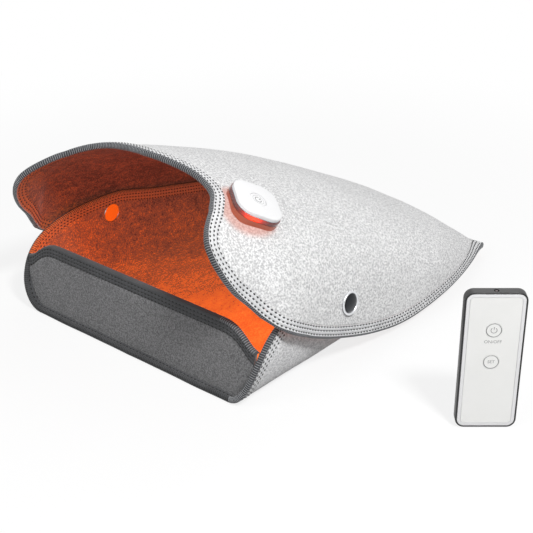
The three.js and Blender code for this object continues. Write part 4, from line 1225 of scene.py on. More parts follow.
@dataclass
class Weave:
    """A grid of cloth points with their outward normals and how far each is pressed.

    pressed runs from 0 on open cloth to 1 where the binding grips it.
    """

    points: Array
    normals: Array
    pressed: Array
    mirrored: bool = False
    area: float = 0.0

    def sheet(self, name: str, loose: tuple[float, float],
              bound: tuple[float, float]) -> Piece:
        """Makes one closed layer of the stack.

        Args:
            name: The layer's name.
            loose: Depths of its two faces in open cloth.
            bound: The same under the binding.

        Returns:
            The layer.
        """
        rows, columns = self.pressed.shape
        share = self.pressed.reshape(-1, 1)
        points, normals = self.points.reshape(-1, 3), self.normals.reshape(-1, 3)
        grid = np.arange(rows * columns).reshape(rows, columns)
        quads = np.stack([grid[:-1, :-1], grid[1:, :-1], grid[1:, 1:], grid[:-1, 1:]],
                         -1).reshape(-1, 4)
        if self.mirrored:
            flip = np.array([-1, 1, 1])
            quads = np.vstack([quads, quads[:, ::-1] + len(points)])
            points, normals = np.vstack([points, points * flip]), np.vstack([normals, normals * flip])
            share = np.vstack([share, share])
        _, first, number = np.unique(np.round(points, 6), axis=0, return_index=True,
                                     return_inverse=True)
        quads = number.reshape(-1)[quads]
        points, normals, share = points[first], normals[first], share[first]
        top, bottom = (points - normals * (a + (b - a) * share) for a, b in zip(loose, bound))
        a, b, c, d = (top[quads[:, k]] for k in range(4))
        self.area = float(np.linalg.norm(np.cross(c - a, d - b), axis=1).sum() / 2)
        seen: dict[tuple[int, int], tuple[int, int]] = {}
        for quad in quads.tolist():
            for p, q in zip(quad, quad[1:] + quad[:1]):
                if p != q and seen.pop((q, p), None) is None:
                    seen[(p, q)] = (p, q)
        count = len(points)
        walls = [(q, p, p + count, q + count) for p, q in seen.values()]
        under = quads[:, ::-1] + count
        return Bench.new(name, np.vstack([top, bottom]),
                         [*quads.tolist(), *under.tolist(), *walls], 50)


@dataclass
class Hem:
    """The strip beside a free edge, as frames at stations inward from it."""

    stations: Array
    points: Array
    normals: Array
    thick: float = CLOTH.whole

    def at(self, widths: Sequence[float], depths: Sequence[float]) -> Array:
        """Gives points of every frame.

        Args:
            widths: Distances inward from the edge, less than 0 beyond it.
            depths: Depths below the outer face.

        Returns:
            The points, by frame and then by width.
        """
        widths, depths = np.asarray(widths, float), np.asarray(depths, float)
        inner = np.clip(widths, 0, self.stations[-1])
        i = np.clip(np.searchsorted(self.stations, inner) - 1, 0, len(self.stations) - 2)
        t = ((inner - self.stations[i]) / (self.stations[i + 1] - self.stations[i]))[None, :, None]
        place = self.points[:, i] * (1 - t) + self.points[:, i + 1] * t
        normal = self.normals[:, i] * (1 - t) + self.normals[:, i + 1] * t
        normal /= np.linalg.norm(normal, axis=2)[:, :, None]
        out = self.points[:, 0] - self.points[:, 1]
        out /= np.linalg.norm(out, axis=1)[:, None]
        beyond = np.maximum(0, -widths)[None, :, None]
        return place + out[:, None, :] * beyond - normal * depths[None, :, None]

    def along(self) -> Array:
        """Gives the length run at every frame."""
        step = np.linalg.norm(np.diff(self.points[:, 0], axis=0), axis=1)
        return np.r_[0, np.cumsum(step)]

    def spots(self, width: float, depth: float, pitch: float, inside: bool = False,
              shift: float = 0.0) -> tuple[Array, Array]:
        """Spaces places evenly along the edge.

        Args:
            width: Distance inward from the edge.
            depth: Depth below the outer face.
            pitch: Distance from place to place.
            inside: Whether the places face the feet.
            shift: Start beyond the run's end.

        Returns:
            The places and their turns, as columns along, across and out.
        """
        line = self.at([width, width], [depth, depth - 0.001])
        step = np.linalg.norm(np.diff(line[:, 0], axis=0), axis=1)
        reached = np.r_[0, np.cumsum(step)]
        count = int((reached[-1] - 2 * shift) / pitch)
        goal = shift + pitch * (np.arange(count) + 0.5)
        place, above, later = (
            np.stack([np.interp(g, reached, p[:, k]) for k in range(3)], 1)
            for g, p in ((goal, line[:, 0]), (goal, line[:, 1]), (goal + 0.0005, line[:, 0])))
        run = later - place
        run /= np.linalg.norm(run, axis=1)[:, None]
        out = (above - place) * (-1 if inside else 1)
        across = np.cross(out, run)
        across /= np.linalg.norm(across, axis=1)[:, None]
        return place, np.stack([run, across, np.cross(run, across)], 2)


class Stitch:
    """Small sewn shapes, each modelled once and copied along an edge."""

    dash_size = (0.00265, 0.00185, 0.00115)
    dash_end = 0.0009
    dash_dip = 0.00018
    thread_radius = 0.00031
    thread_tip = 0.00014

    @staticmethod
    def dash() -> tuple[Array, list[list[int]]]:
        """Models one running stitch: a short thread that dips into the cloth at both ends.

        Returns:
            Its points and faces.
        """
        Bench.clear()
        bpy.ops.mesh.primitive_uv_sphere_add(segments=6, ring_count=5, radius=0.5)
        made = Bench.opened("dash")
        bpy.ops.transform.rotate(value=math.pi / 2, orient_axis="Y", center_override=(0, 0, 0))
        bpy.ops.transform.resize(value=Stitch.dash_size)
        Bench.pick(made, "verts", lambda v: abs(v.co.x) > Stitch.dash_end)
        bpy.ops.transform.translate(value=(0, 0, -Stitch.dash_dip))
        bpy.ops.object.mode_set(mode="OBJECT")
        points = np.array([v.co[:] for v in made.data.vertices])
        faces = [list(p.vertices) for p in made.data.polygons]
        bpy.data.objects.remove(made)
        return points, faces

    @staticmethod
    def loop(thick: float, grip: float = 0.0016, slant: float = 0.0005) -> tuple[
            Array, list[list[int]]]:
        """Shapes one whipped loop of thread round an edge.

        Args:
            thick: The edge's thickness.
            grip: How far the loop reaches inward.
            slant: How far it leans along the run.

        Returns:
            Its points, along the run, inward and out of the cloth, and its faces.
        """
        angle = np.linspace(-0.62 * math.pi, 0.62 * math.pi, 9)
        half = thick / 2 + 0.00035
        spine = np.stack([slant * angle / math.pi,
                          grip * 0.35 - (0.0016 + grip * 0.2) * np.cos(angle),
                          -thick / 2 + half * np.sin(angle)], 1)
        spine[[0, -1], 1] += grip * 0.6
        radius = np.full(9, Stitch.thread_radius)
        radius[[0, -1]] = Stitch.thread_tip
        return tube(spine, radius, 5)

    @staticmethod
    def copied(name: str, shape: tuple[Array, list[list[int]]],
               spots: Sequence[tuple[Array, Array]]) -> Piece:
        """Copies a shape to every spot of some rows, in one object.

        Args:
            name: The piece's name.
            shape: Points and faces of one.
            spots: Rows of places and turns.

        Returns:
            The copies.
        """
        points, faces = shape
        places = np.vstack([p for p, _ in spots])
        turns = np.vstack([t for _, t in spots])
        every = (places[:, None, :] + np.einsum("nij,vj->nvi", turns, points)).reshape(-1, 3)
        count = len(points)
        all_faces = [[v + k * count for v in face] for k in range(len(places)) for face in faces]
        return Bench.new(name, every, all_faces, 80)


def tube(spine: Array, radius: Array, sides: int) -> tuple[
        Array, list[list[int]]]:
    """Runs a closed tube along a spine.

    Args:
        spine: The middle line.
        radius: Radius at each of its points.
        sides: Faces round it.

    Returns:
        Points and faces.
    """
    run = np.gradient(spine, axis=0)
    run /= np.linalg.norm(run, axis=1)[:, None]
    side = np.cross(run, np.array([1.0, 0.02, 0.01]))
    side /= np.linalg.norm(side, axis=1)[:, None]
    up = np.cross(run, side)
    angle = 2 * math.pi * np.arange(sides) / sides
    ring = (spine[:, None] + radius[:, None, None] * (
        side[:, None] * np.cos(angle)[None, :, None] + up[:, None] * np.sin(angle)[None, :, None]))
    count = len(spine)
    faces = [[i * sides + j, (i + 1) * sides + j, (i + 1) * sides + (j + 1) % sides,
              i * sides + (j + 1) % sides] for i in range(count - 1) for j in range(sides)]
    faces += [list(range(sides))[::-1], [(count - 1) * sides + j for j in range(sides)]]
    return ring.reshape(-1, 3), faces


@dataclass(frozen=True)
class DarkStretch:
    """Stretch of the trough's rim beside the front wall, where the tape is dark."""

    front: float = -0.188
    inner_height: float = 0.056
    left_height: float = 0.060
    right_height: float = 0.008

    def holds(self, points: Array, inside: bool) -> Array:
        """Finds the points of the stretch.

        Args:
            points: Points of the rim.
            inside: Whether they are on the face towards the feet.

        Returns:
            True for each point that lies in it.
        """
        outer = np.where(points[:, 0] < 0, self.left_height, self.right_height)
        limit = self.inner_height if inside else outer
        return (points[:, 1] < self.front) & (points[:, 2] < limit)


DARK_STRETCH = DarkStretch()


@dataclass(frozen=True)
class Binding:
    """Folded tape sewn over a free edge in three rows, with a whipped nose."""

    width: float = 0.012
    tape: float = 0.0006
    rows: tuple[float, ...] = (0.0032, 0.0072, 0.0110)
    puff: float = 0.00035
    channel: float = 0.00030
    pitch: float = 0.0048
    whip: float = 0.0023
    margin: float = 0.0136
    gripped: Outline = (
        (0.0126, 0.25), (0.0117, 1.0), (0.006, 1.0), (0.0, 1.0))

    @property
    def stations(self) -> Array:
        """Distances inward from the edge at which a hem has its frames."""
        return np.linspace(0, self.width, 5)

    def _face(self) -> tuple[Array, Array]:
        """Gives widths and rises of the tape's face, from its inner edge to the nose.

        Returns:
            The widths and the rises.
        """
        widths = np.linspace(self.width, 0.0003, 30)
        rise = np.full(30, self.puff)
        for row in self.rows:
            rise -= (self.puff + self.channel) * np.exp(-((widths - row) / 0.00075) ** 2)
        rise[0] = -0.0001
        return widths, rise

    def strip(self, name: str, hem: Hem, finishes: Sequence[Finish], dark_front: bool,
              thick: float) -> Piece:
        """Sweeps the tape round an edge.

        Args:
            name: The piece's name.
            hem: The edge.
            finishes: Tapes for the outer face, the nose, the inner face and a dark stretch.
            dark_front: Whether low frames at the front get the dark stretch's tape.
            thick: Thickness of the cloth it folds over.

        Returns:
            The binding, with its material slots filled.
        """
        widths, rise = self._face()
        angle = np.linspace(0.5 * math.pi, -0.5 * math.pi, 11)[1:-1]
        bulge = 0.0011 * np.cos(angle) ** 0.7
        nose = thick / 2 * np.sign(np.sin(angle)) * np.abs(np.sin(angle)) ** 0.8
        inside = np.array([self.width, 0.0002, 0.0002, self.width])
        hollow = np.array([thick - self.tape, thick - self.tape, self.tape, self.tape])
        w = np.r_[widths, -bulge, widths[::-1], inside]
        d = np.r_[-rise, thick / 2 - nose, thick + rise[::-1], hollow]
        parts = np.r_[np.zeros(26, int), np.ones(13, int), np.full(33, 2), [0]]
        rings = hem.at(w, d)
        count, around = len(rings), len(w)
        run = hem.along()
        reach = np.r_[0, np.cumsum(np.hypot(np.diff(np.r_[w, w[0]]), np.diff(np.r_[d, d[0]])))]
        k, m = np.meshgrid(np.arange(count - 1), np.arange(around), indexing="ij")
        n = (m + 1) % around
        quads = np.stack([k * around + m, k * around + n, (k + 1) * around + n,
                          (k + 1) * around + m], -1).reshape(-1, 4)
        caps = [list(range(around)), [(count - 1) * around + j for j in range(around)][::-1]]
        made = Bench.new(name, rings.reshape(-1, 3), [*quads.tolist(), *caps], 50)
        made.data.materials.clear()
        for finish in finishes:
            made.data.materials.append(finish.make())
        index = np.tile(parts, count - 1)
        if dark_front:
            outer, inner = (np.repeat(DARK_STRETCH.holds(hem.points[:-1, 0], face), around)
                            for face in (False, True))
            left = np.repeat(hem.points[:-1, 0, 0] < 0, around)
            turned_in = np.tile(np.arange(around) > 32, count - 1)
            index = np.where(left & turned_in & (index == 1), 2, index)
            index = np.where((outer & (index < 2)) | (inner & (index == 2))
                             | (left & (index == 1)), 3, index)
        made.data.polygons.foreach_set("material_index", np.r_[index, [1, 1]].astype(np.int32))
        loops = np.array([v for p in made.data.polygons for v in p.vertices])
        lengths = np.array([len(p.vertices) for p in made.data.polygons])
        owner = np.repeat(np.arange(len(lengths)), lengths)
        ring, spot = loops // around, loops % around
        wraps = (owner % around == around - 1) & (spot == 0) & (owner < len(quads))
        uv = np.stack([run[ring], np.where(wraps, reach[-1], reach[spot])], 1)
        layer = made.data.uv_layers.new(name="run")
        layer.data.foreach_set("uv", uv.astype(np.float32).ravel())
        return made

    def sewn(self, name: str, hem: Hem, thick: float, inside: bool,
             low: bool | None = None) -> Piece:
        """Sews the rows of running stitches on one face.

        Args:
            name: The piece's name.
            hem: The edge.
            thick: Thickness of the cloth.
            inside: Whether the face is the one towards the feet.
            low: Whether only the dark stretch at the front is sewn, or only the rest.

        Returns:
            The stitches.
        """
        depth = thick + 0.00005 if inside else -0.00005
        spots = [hem.spots(row, depth, self.pitch, inside, 0.001) for row in self.rows]
        if low is not None:
            kept = [DARK_STRETCH.holds(places, inside) == low for places, _ in spots]
            spots = [(spot[0][keep], spot[1][keep]) for spot, keep in zip(spots, kept)]
        return Stitch.copied(name, Stitch.dash(), spots)

    def whipped(self, name: str, hem: Hem, thick: float,
                from_x: float = -math.inf, to_x: float = math.inf) -> Piece:
        """Whips loops of thread round the nose, from one place across to another.

        Args:
            name: The piece's name.
            hem: The edge.
            thick: Thickness of the cloth.
            from_x: Where the loops start.
            to_x: Where they end.

        Returns:
            The loops.
        """
        places, turns = hem.spots(0.0, 0.0, self.whip, shift=0.001)
        inward = hem.at([0.002], [0.0])[:, 0] - hem.at([0.0], [0.0])[:, 0]
        reached = hem.along()
        goal = 0.001 + self.whip * (np.arange(len(places)) + 0.5)
        into = np.stack([np.interp(goal, reached, inward[:, k]) for k in range(3)], 1)
        turned = (turns[:, :, 1] * into).sum(1) < 0
        turns[turned, :, 1] *= -1
        keep = (places[:, 0] > from_x) & (places[:, 0] < to_x)
        return Stitch.copied(name, Stitch.loop(thick), [(places[keep], turns[keep])])


@dataclass
class Panel:
    """A stack of cloth on a form, from its inner line to its bound free edge."""

    form: Form
    ribs: int
    columns: int
    binding: Binding = field(default_factory=Binding)

    def __post_init__(self) -> None:
        """Spaces the edge's samples and finds the way inward at each."""
        self.half = evened(self.form, self.form.edge_run(), self.ribs + 1)
        self.inner = self._inner()
        here = self.form.point(self.half)
        run = np.vstack([here[1:2] - here[:1], here[2:] - here[:-2], here[-1:] - here[-2:-1]])
        normal = self.form.normals(self.half)
        way = np.cross(normal, run)
        way /= np.linalg.norm(way, axis=1)[:, None]
        home = self.form.point(self.half * 0.97 + self.inner * 0.03) - here
        home /= np.linalg.norm(home, axis=1)[:, None]
        way[(way * home).sum(1) < 0] *= -1
        weights = np.array([1, 2, 3, 4, 3, 2, 1]) / 16
        rows = np.pad(way, ((3, 3), (0, 0)), mode="edge")
        way = np.stack([np.convolve(rows[:, k], weights, "valid") for k in range(3)], 1)
        way /= np.linalg.norm(way, axis=1)[:, None]
        way[0] = [0, 1, 0] if isinstance(self.form, TroughForm) else home[0]
        way[-1] = home[-1]
        self.way = way

    def _inner(self) -> Array:
        """Gives the place where each rib starts.

        Returns:
            One place for each rib.
        """
        share = np.linspace(1, 0, len(self.half))
        if isinstance(self.form, CoverForm):
            return np.stack([0.5 * (1 - share ** 1.5), np.full(len(share), self.form.rear)], 1)
        middle = np.maximum.accumulate(np.maximum(self.half[:, 1], -0.150 + 0.06 * (1 - share)))
        return np.stack([np.zeros(len(share)), middle], 1)

    def inset(self, width: float) -> Array:
        """Gives the places at a real distance inward from the edge.

        Args:
            width: The distance, or 0.

        Returns:
            One place for each rib.
        """
        target = self.form.point(self.half) + self.way * width
        place = self.half * 0.96 + self.inner * 0.04 if width > 0 else self.half.copy()
        for _ in range(14):
            place = self.form.moved(place, target - self.form.point(place))
        place[-1, 1] = self.form.rear
        if width > 0:
            place[0, 0] = 0
        return place

    def _laid(self, place: Array) -> tuple[Array, Array]:
        """Gives points and normals at places, with the cloth's small waves.

        Args:
            place: Places, one to a row.

        Returns:
            Points and normals.
        """
        points, normals = self.form.point(place), self.form.normals(place)
        x, y, z = np.abs(points[:, 0]), points[:, 1], points[:, 2]
        wave = (np.sin(x * 61 + y * 23 + 1.0) * np.sin(y * 47 - z * 39) * 0.00028
                + np.sin(x * 113 - z * 87 + y * 71) * 0.00012)
        wave *= np.clip((self.form.rear - y) / 0.03, 0, 1)
        return points + normals * wave[:, None], normals

    def weave(self, spread: float, rounded: bool = False, inside: float = 0.0) -> Weave:
        """Lays the whole sheet's grid.

        Args:
            spread: Power that draws columns towards the edge.
            rounded: Whether columns close up at both ends instead.
            inside: Distance from the edge at which the grid ends, for a middle layer.

        Returns:
            The grid of the right half, to be mirrored.
        """
        start = self.inset(max(self.binding.margin, inside))
        share = np.linspace(0, 1, self.columns + 1)
        share = (1 - np.cos(math.pi * share)) / 2 * 0.5 + share * 0.5 if rounded else share ** spread
        places = [self.inner * (1 - s) + start * s for s in share]
        pressed = [0.0] * len(places)
        if not inside:
            for width, press in self.binding.gripped:
                places.append(self.inset(width))
                pressed.append(press)
        grid = np.stack(places, 1)
        points, normals = self._laid(grid.reshape(-1, 2))
        shape = (*grid.shape[:2], 3)
        return Weave(points.reshape(shape), normals.reshape(shape),
                     np.tile(pressed, (len(grid), 1)), mirrored=True)

    def hem(self) -> Hem:
        """Gives the frames of the whole bound edge, from its left end to its right one.

        Returns:
            The edge.
        """
        stations = self.binding.stations
        laid = [self._laid(self.inset(w)) for w in stations]
        points, normals = (np.stack([one[k] for one in laid], 1) for k in range(2))
        flip = np.array([-1, 1, 1])
        return Hem(stations, *(np.concatenate([(a * flip)[::-1][:-1], a]) for a in (points, normals)))


@dataclass
class Bound:
    """One stack of cloth with its bound edge: felt, film, lining, tape and sewing."""

    name: str
    body: str
    panel: Panel
    felt: Finish
    lining: Finish
    flat: tuple[float, float]
    spread: float = 0.75
    rounded: bool = False
    dark_front: bool = False
    inner_tape: Finish = TAPE_WARM

    def build(self) -> None:
        """Makes every layer, the binding and its sewing, and dresses them."""
        weave = self.panel.weave(self.spread, self.rounded)
        whole = CLOTH.whole
        felt = weave.sheet(f"{self.name}_felt", *CLOTH.felt_depths)
        finished(felt, self.felt, self.body, [f"{self.name}_outer_felt"])
        lining = weave.sheet(f"{self.name}_pile", *CLOTH.lining_depths)
        finished(lining, self.lining, self.body, [f"{self.name}_lining"])
        middle = self.panel.weave(self.spread, self.rounded, inside=0.016)
        keep = slice(0, -14)
        middle = Weave(middle.points[keep], middle.normals[keep], middle.pressed[keep], True)
        film = middle.sheet(f"{self.name}_heat_film",
                            (CLOTH.middle_top, CLOTH.middle_top + CLOTH.middle), (0, 0))
        finished(film, FILM, self.body, [f"{self.name}_heater_film"])
        share = middle.area / weave.area
        self.flat[0] * 0.95
        self.flat[1] * max(0.9, share)
        hem, binding = self.panel.hem(), self.panel.binding
        # The nose takes the darker tape: painted shade on the fold.
        strip = binding.strip(f"{self.name}_binding_tape", hem,
                              (TAPE_LIGHT, TAPE_NOSE_SHADED, self.inner_tape, TAPE_DARK), self.dark_front,
                              whole)
        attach(strip, self.body)
        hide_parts(f"{self.name}_edge_binding")
        length = float(hem.along()[-1])
        2 * binding.width + whole
        for inside, thread in ((False, THREAD_BLACK), (True, THREAD_RUST)):
            where = "inner" if inside else "outer"
            low = False if self.dark_front else None
            sewn = binding.sewn(f"{self.name}_{where}_stitches", hem, whole, inside, low)
            finished(sewn, thread, self.body)
        split = 0.140 if self.dark_front else -math.inf
        whip = binding.whipped(f"{self.name}_whip_thread", hem, whole, split)
        finished(whip, THREAD_PALE, self.body)
        if self.dark_front:
            dark = binding.whipped("base_dark_whip_thread", hem, whole, to_x=split)
            finished(dark, THREAD_BLACK, self.body)
            for inside, where in ((False, "outer"), (True, "inner")):
                sewn = binding.sewn(f"{self.name}_front_{where}_stitches", hem, whole, inside, True)
                finished(sewn, THREAD_BLACK, self.body)


@dataclass(frozen=True)
class FrontWall:
    """Stiffened panel across the mouth of the trough, leaning back a little."""

    height: float = 0.3662 * 0.213
    reach: float = 0.170 - CLOTH.whole - 0.0003 - CLOTH.grip
    end_height: float = 0.1455 * 0.213
    lean: float = 0.007
    place: float = -0.214
    flat: tuple[float, float] = (0.326, 0.078)
    ribs: int = 161
    rows: int = 27
    whipped_from: float = 0.118
    top: Table = Table(((0, 1), (0.70, 1), (0.78, 0.99), (0.84, 0.945), (0.90, 0.86),
                        (0.95, 0.775), (1, 0.73)))

    def _ribs(self, form: TroughForm) -> tuple[Array, Array, Matrix]:
        """Gives the feet and tops of the ribs and the panel's place.

        Args:
            form: The trough.

        Returns:
            Feet, tops and the panel's matrix.
        """
        reach = np.linspace(-1, 1, self.ribs)
        across = form.across_at_height(np.array([self.end_height]))[0]
        foot = np.stack([reach * across, 0 * reach], 1)
        low = form.point(foot) - form.normals(foot) * (CLOTH.whole - 0.0006)
        low[:, 1] = 0
        high = np.stack([reach * self.reach, 0 * reach, self.top.at(np.abs(reach)) * self.height], 1)
        matrix = (Matrix.Translation((0, self.place, 0))
                  @ Matrix.Rotation(-math.atan2(self.lean, self.height), 4, "X"))
        return low, high, matrix

    def build(self, form: TroughForm, binding: Binding) -> None:
        """Makes the panel's felt, lining, band and sewing.

        Args:
            form: The trough it stands in.
            binding: The band on its top.
        """
        low, high, matrix = self._ribs(form)
        length = np.linalg.norm(high - low, axis=1)[:, None]
        down = (low - high) / length
        share = np.linspace(0, 1, self.rows)[None, :, None]
        start = high + down * binding.margin
        open_cloth = low[:, None] * (1 - share) + start[:, None] * share
        bound = np.stack([high + down * w for w, _ in binding.gripped], 1)
        points = np.concatenate([open_cloth, bound], 1)
        ripple = (np.sin(points[..., 0] * 55) * np.sin(points[..., 2] * 60 + 0.7) * 0.0002
                  + np.sin(points[..., 0] * 23 + 1) * 0.0002)
        points[..., 1] -= ripple * np.clip(points[..., 2] / 0.03, 0, 1)
        normals = np.zeros_like(points)
        normals[..., 1] = -1
        pressed = [0.0] * self.rows + [press for _, press in binding.gripped]
        weave = Weave(points, normals, np.tile(pressed, (self.ribs, 1)))
        whole = BOARDED.whole
        felt = weave.sheet("front_panel_felt", *BOARDED.felt_depths)
        Bench.placed(felt, matrix)
        finished(felt, FELT_DARK, "base", ["front_wall_felt"])
        pile = weave.sheet("front_panel_pile", *BOARDED.lining_depths)
        Bench.placed(pile, matrix)
        finished(pile, LINING, "base", ["front_wall_lining"])
        edge = high[:, None] + down[:, None] * binding.stations[None, :, None]
        hem = Hem(binding.stations, edge, np.tile([0.0, -1.0, 0.0], (*edge.shape[:2], 1)))
        strip = binding.strip("front_panel_binding_tape", hem,
                              (TAPE_DARK, TAPE_DARK, TAPE_WARM, TAPE_DARK), False, whole)
        Bench.placed(strip, matrix)
        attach(strip, "base")
        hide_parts("front_wall_binding")
        float(hem.along()[-1])
        2 * binding.width + whole
        whip = binding.whipped("front_panel_whip_thread", hem, whole, self.whipped_from)
        finished(Bench.placed(whip, matrix), THREAD_PALE, "base")
        for inside, thread in ((False, THREAD_BLACK), (True, THREAD_RUST)):
            where = "inner" if inside else "outer"
            sewn = binding.sewn(f"front_panel_{where}_stitches", hem, whole, inside)
            finished(Bench.placed(sewn, matrix), thread, "base")


@dataclass(frozen=True)
class RearFold:
    """Bend of the outer felt between the trough and the cover, with the flat lead inside it."""

    half: float = 0.124
    rear: float = 0.2203
    height: float = 0.0072
    radius: float = 0.0069
    felt: float = 0.0021
    lead_low: float = 0.051
    lead_high: float = 0.069

    def _bend(self, name: str, low: float, high: float, radius: float, thick: float,
              rows: int) -> Piece:
        """Bends a strip half round the hinge line.

        Args:
            name: The piece's name.
            low: Its left end.
            high: Its right end.
            radius: Outer radius.
            thick: Its thickness.
            rows: Faces across it.

        Returns:
            The bent strip.
        """
        x = np.linspace(low, high, rows + 1)
        angle = np.linspace(-math.pi / 2, math.pi / 2, 25)
        xx, aa = np.meshgrid(x, angle, indexing="ij")
        normals = np.stack([0 * xx, np.cos(aa), np.sin(aa)], -1)
        points = normals * radius + np.array([0, self.rear, self.height])
        points[..., 0] = xx
        weave = Weave(points, normals, np.zeros(xx.shape))
        piece = weave.sheet(name, (0.0, thick), (0.0, thick))
        return piece

    def build(self) -> None:
        """Makes the felt's bend and the lead, which ride on no body."""
        bend = self._bend("rear_fold_felt", -self.half, self.half, self.radius, self.felt, 62)
        finished(bend, FELT_SIDE, "", ["rear_fold"])
        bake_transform(bend)
        lead = self._bend("rear_fold_flat_lead", self.lead_low, self.lead_high,
                          self.height - CLOTH.middle_top, CLOTH.middle, 6)
        finished(lead, BLACK_SHELL, "", ["rear_fold_lead"])
        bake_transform(lead)


def inset(radius: float, outline: Outline) -> list[tuple[float, float]]:
    """Gives an outline's points from their distance inside a radius and their height."""
    return [(radius - inward, height) for inward, height in outline]


def standing(origin: Sequence[float], axis: Sequence[float], turn: float = 0.0) -> Matrix:
    """Gives the place of a part that stands on a surface.

    Args:
        origin: Where it stands.
        axis: The way out of the surface.
        turn: Angle about that axis, in degrees.

    Returns:
        Its matrix.
    """
    out = Vector(axis).normalized()
    side = Vector((0, 1, 0)).cross(out).normalized()
    along = out.cross(side)
    basis = Matrix((side, along, out)).transposed().to_4x4()
    return Matrix.Translation(origin) @ basis @ Matrix.Rotation(math.radians(turn), 4, "Z")


@dataclass(frozen=True)
class Snap:
    """Snap fastener: plated cap on the cover, and inside the wall a back whose orange, glowing face is a
    painted reflection of the glowing lining.
    """

    cap_place: Point = (0.18007, -0.08602, 0.06753)
    cap_axis: Point = (0.99348, -0.00266, 0.114)
    back_place: Point = (0.16980, -0.08600, 0.06650)
    back_axis: Point = (0.99833, 0.0, 0.05772)
    radius: float = 0.0125
    back_radius: float = 0.0118
    post: float = 0.0018
    post_foot: float = -0.0066
    seat: float = 0.0010
    rim_outline: Outline = (
        (0.0012, 0.0002), (0.0003, 0.0005), (0.0, 0.0010), (0.0001, 0.0015), (0.0006, 0.0020),
        (0.0013, 0.0022), (0.0020, 0.0019), (0.0023, 0.0014), (0.0026, 0.0010))
    dome_low: float = 0.00105
    dome_high: float = 0.0029
    dome_outline: Outline = (
        (0.0027, 0.00105), (0.0026, 0.0013), (0.0031, 0.0017), (0.0050, 0.0022),
        (0.0075, 0.0026), (0.0100, 0.0028))
    disc_face: float = -0.0070
    disc_back: float = -0.0062
    disc_outline: Outline = (
        (0.0022, -0.0071), (0.0017, -0.0069), (0.0015, -0.0065), (0.0015, -0.0062))
    ring_back: float = -0.0057
    ring_outline: Outline = (
        (0.0002, -0.0057), (0.0, -0.0061), (0.0, -0.0066), (0.0004, -0.0072),
        (0.0009, -0.0073), (0.0013, -0.0070), (0.0014, -0.0062))

    def build(self, side: int, name: str) -> None:
        """Makes one fastener.

        Args:
            side: 1 for the right side, -1 for the left.
            name: The side's name.
        """
        def placed(piece: Piece, at: Sequence[float], axis: Sequence[float]) -> None:
            """Puts a piece in place on this side."""
            Bench.placed(piece, standing((side * at[0], at[1], at[2]),
                                         (side * axis[0], axis[1], axis[2])))

        r, post = self.radius, self.post
        rim = Bench.turned(f"{name}_cap_rim", [
            (0.0, self.post_foot), (post, self.post_foot), (post, self.rim_outline[0][1]),
            *inset(r, self.rim_outline), (0.0, self.seat)])
        dome = Bench.turned(f"{name}_cap_dome", [
            (0.0, self.dome_low), *inset(r, self.dome_outline), (0.0, self.dome_high)])
        centre = (side * self.cap_place[0], self.cap_place[1], self.cap_place[2])
        for piece in (rim, dome):
            placed(piece, self.cap_place, self.cap_axis)
        finished(rim, CHROME, "cover", [f"{name}_snap_cap"])
        finished(dome, DarkMirror(f"dark_mirror_{name}", centre, r), "cover")
        disc = Bench.turned(f"{name}_back_disc", [
            (0.0, self.disc_face), *inset(self.back_radius, self.disc_outline),
            (0.0, self.disc_back)])
        ring = Bench.turned(f"{name}_back_ring", [
            (post, self.ring_back), *inset(self.back_radius, self.ring_outline),
            (post, self.disc_back)])
        for piece in (disc, ring):
            placed(piece, self.back_place, self.back_axis)
        # The disc's orange, glowing face is a painted reflection of the lining.
        finished(disc, ORANGE_SNAP_REFLECTION, "base", [f"{name}_snap_back"])
        finished(ring, CHROME, "base")


class Symbol:
    """Printed or inlaid marks: rings, and the on and off symbol."""

    @staticmethod
    def ring(name: str, radius: float, line: float, thick: float, gap: float = 0.0
             ) -> Piece:
        """Models a flat ring, open at its top if asked.

        Args:
            name: The piece's name.
            radius: Radius of the line's outer edge.
            line: Width of the line.
            thick: Its height.
            gap: Angle of the opening, in radians.

        Returns:
            The ring about the origin.
        """
        Bench.clear()
        bpy.ops.mesh.primitive_circle_add(vertices=48, radius=radius, fill_type="NOTHING")
        made = Bench.opened(name)
        if gap:
            Bench.pick(made, "verts", lambda v: v.co.y > radius * math.cos(gap / 2))
            bpy.ops.mesh.delete(type="VERT")
        Bench.all()
        bpy.ops.mesh.extrude_edges_move()
        share = (radius - line) / radius
        bpy.ops.transform.resize(value=(share, share, 1), center_override=(0, 0, 0))
        Bench.all()
        bpy.ops.mesh.extrude_region_move(TRANSFORM_OT_translate={"value": (0, 0, thick)})
        Bench.all()
        bpy.ops.mesh.normals_make_consistent(inside=False)
        bpy.ops.object.mode_set(mode="OBJECT")
        return made

    @staticmethod
    def power(name: str, radius: float, line: float, thick: float) -> Piece:
        """Models the on and off symbol: an open ring and a bar.

        Args:
            name: The piece's name.
            radius: Outer radius of its ring.
            line: Width of its lines.
            thick: Its height.

        Returns:
            The symbol about the origin.
        """
        arc = Symbol.ring(name, radius, line, thick, 1.3)
        Bench.clear()
        bpy.ops.mesh.primitive_cube_add(size=1, location=(0, radius * 0.72, thick / 2))
        bar = Bench.opened("bar")
        bpy.ops.transform.resize(value=(line, radius * 0.8, thick))
        bpy.ops.mesh.bevel(offset=line * 0.3, segments=2, affect="EDGES")
        bpy.ops.object.mode_set(mode="OBJECT")
        Bench.placed(bar, Matrix.Identity(4))
        Bench.select(arc)
        bar.select_set(True)
        bpy.ops.object.join()
        return arc


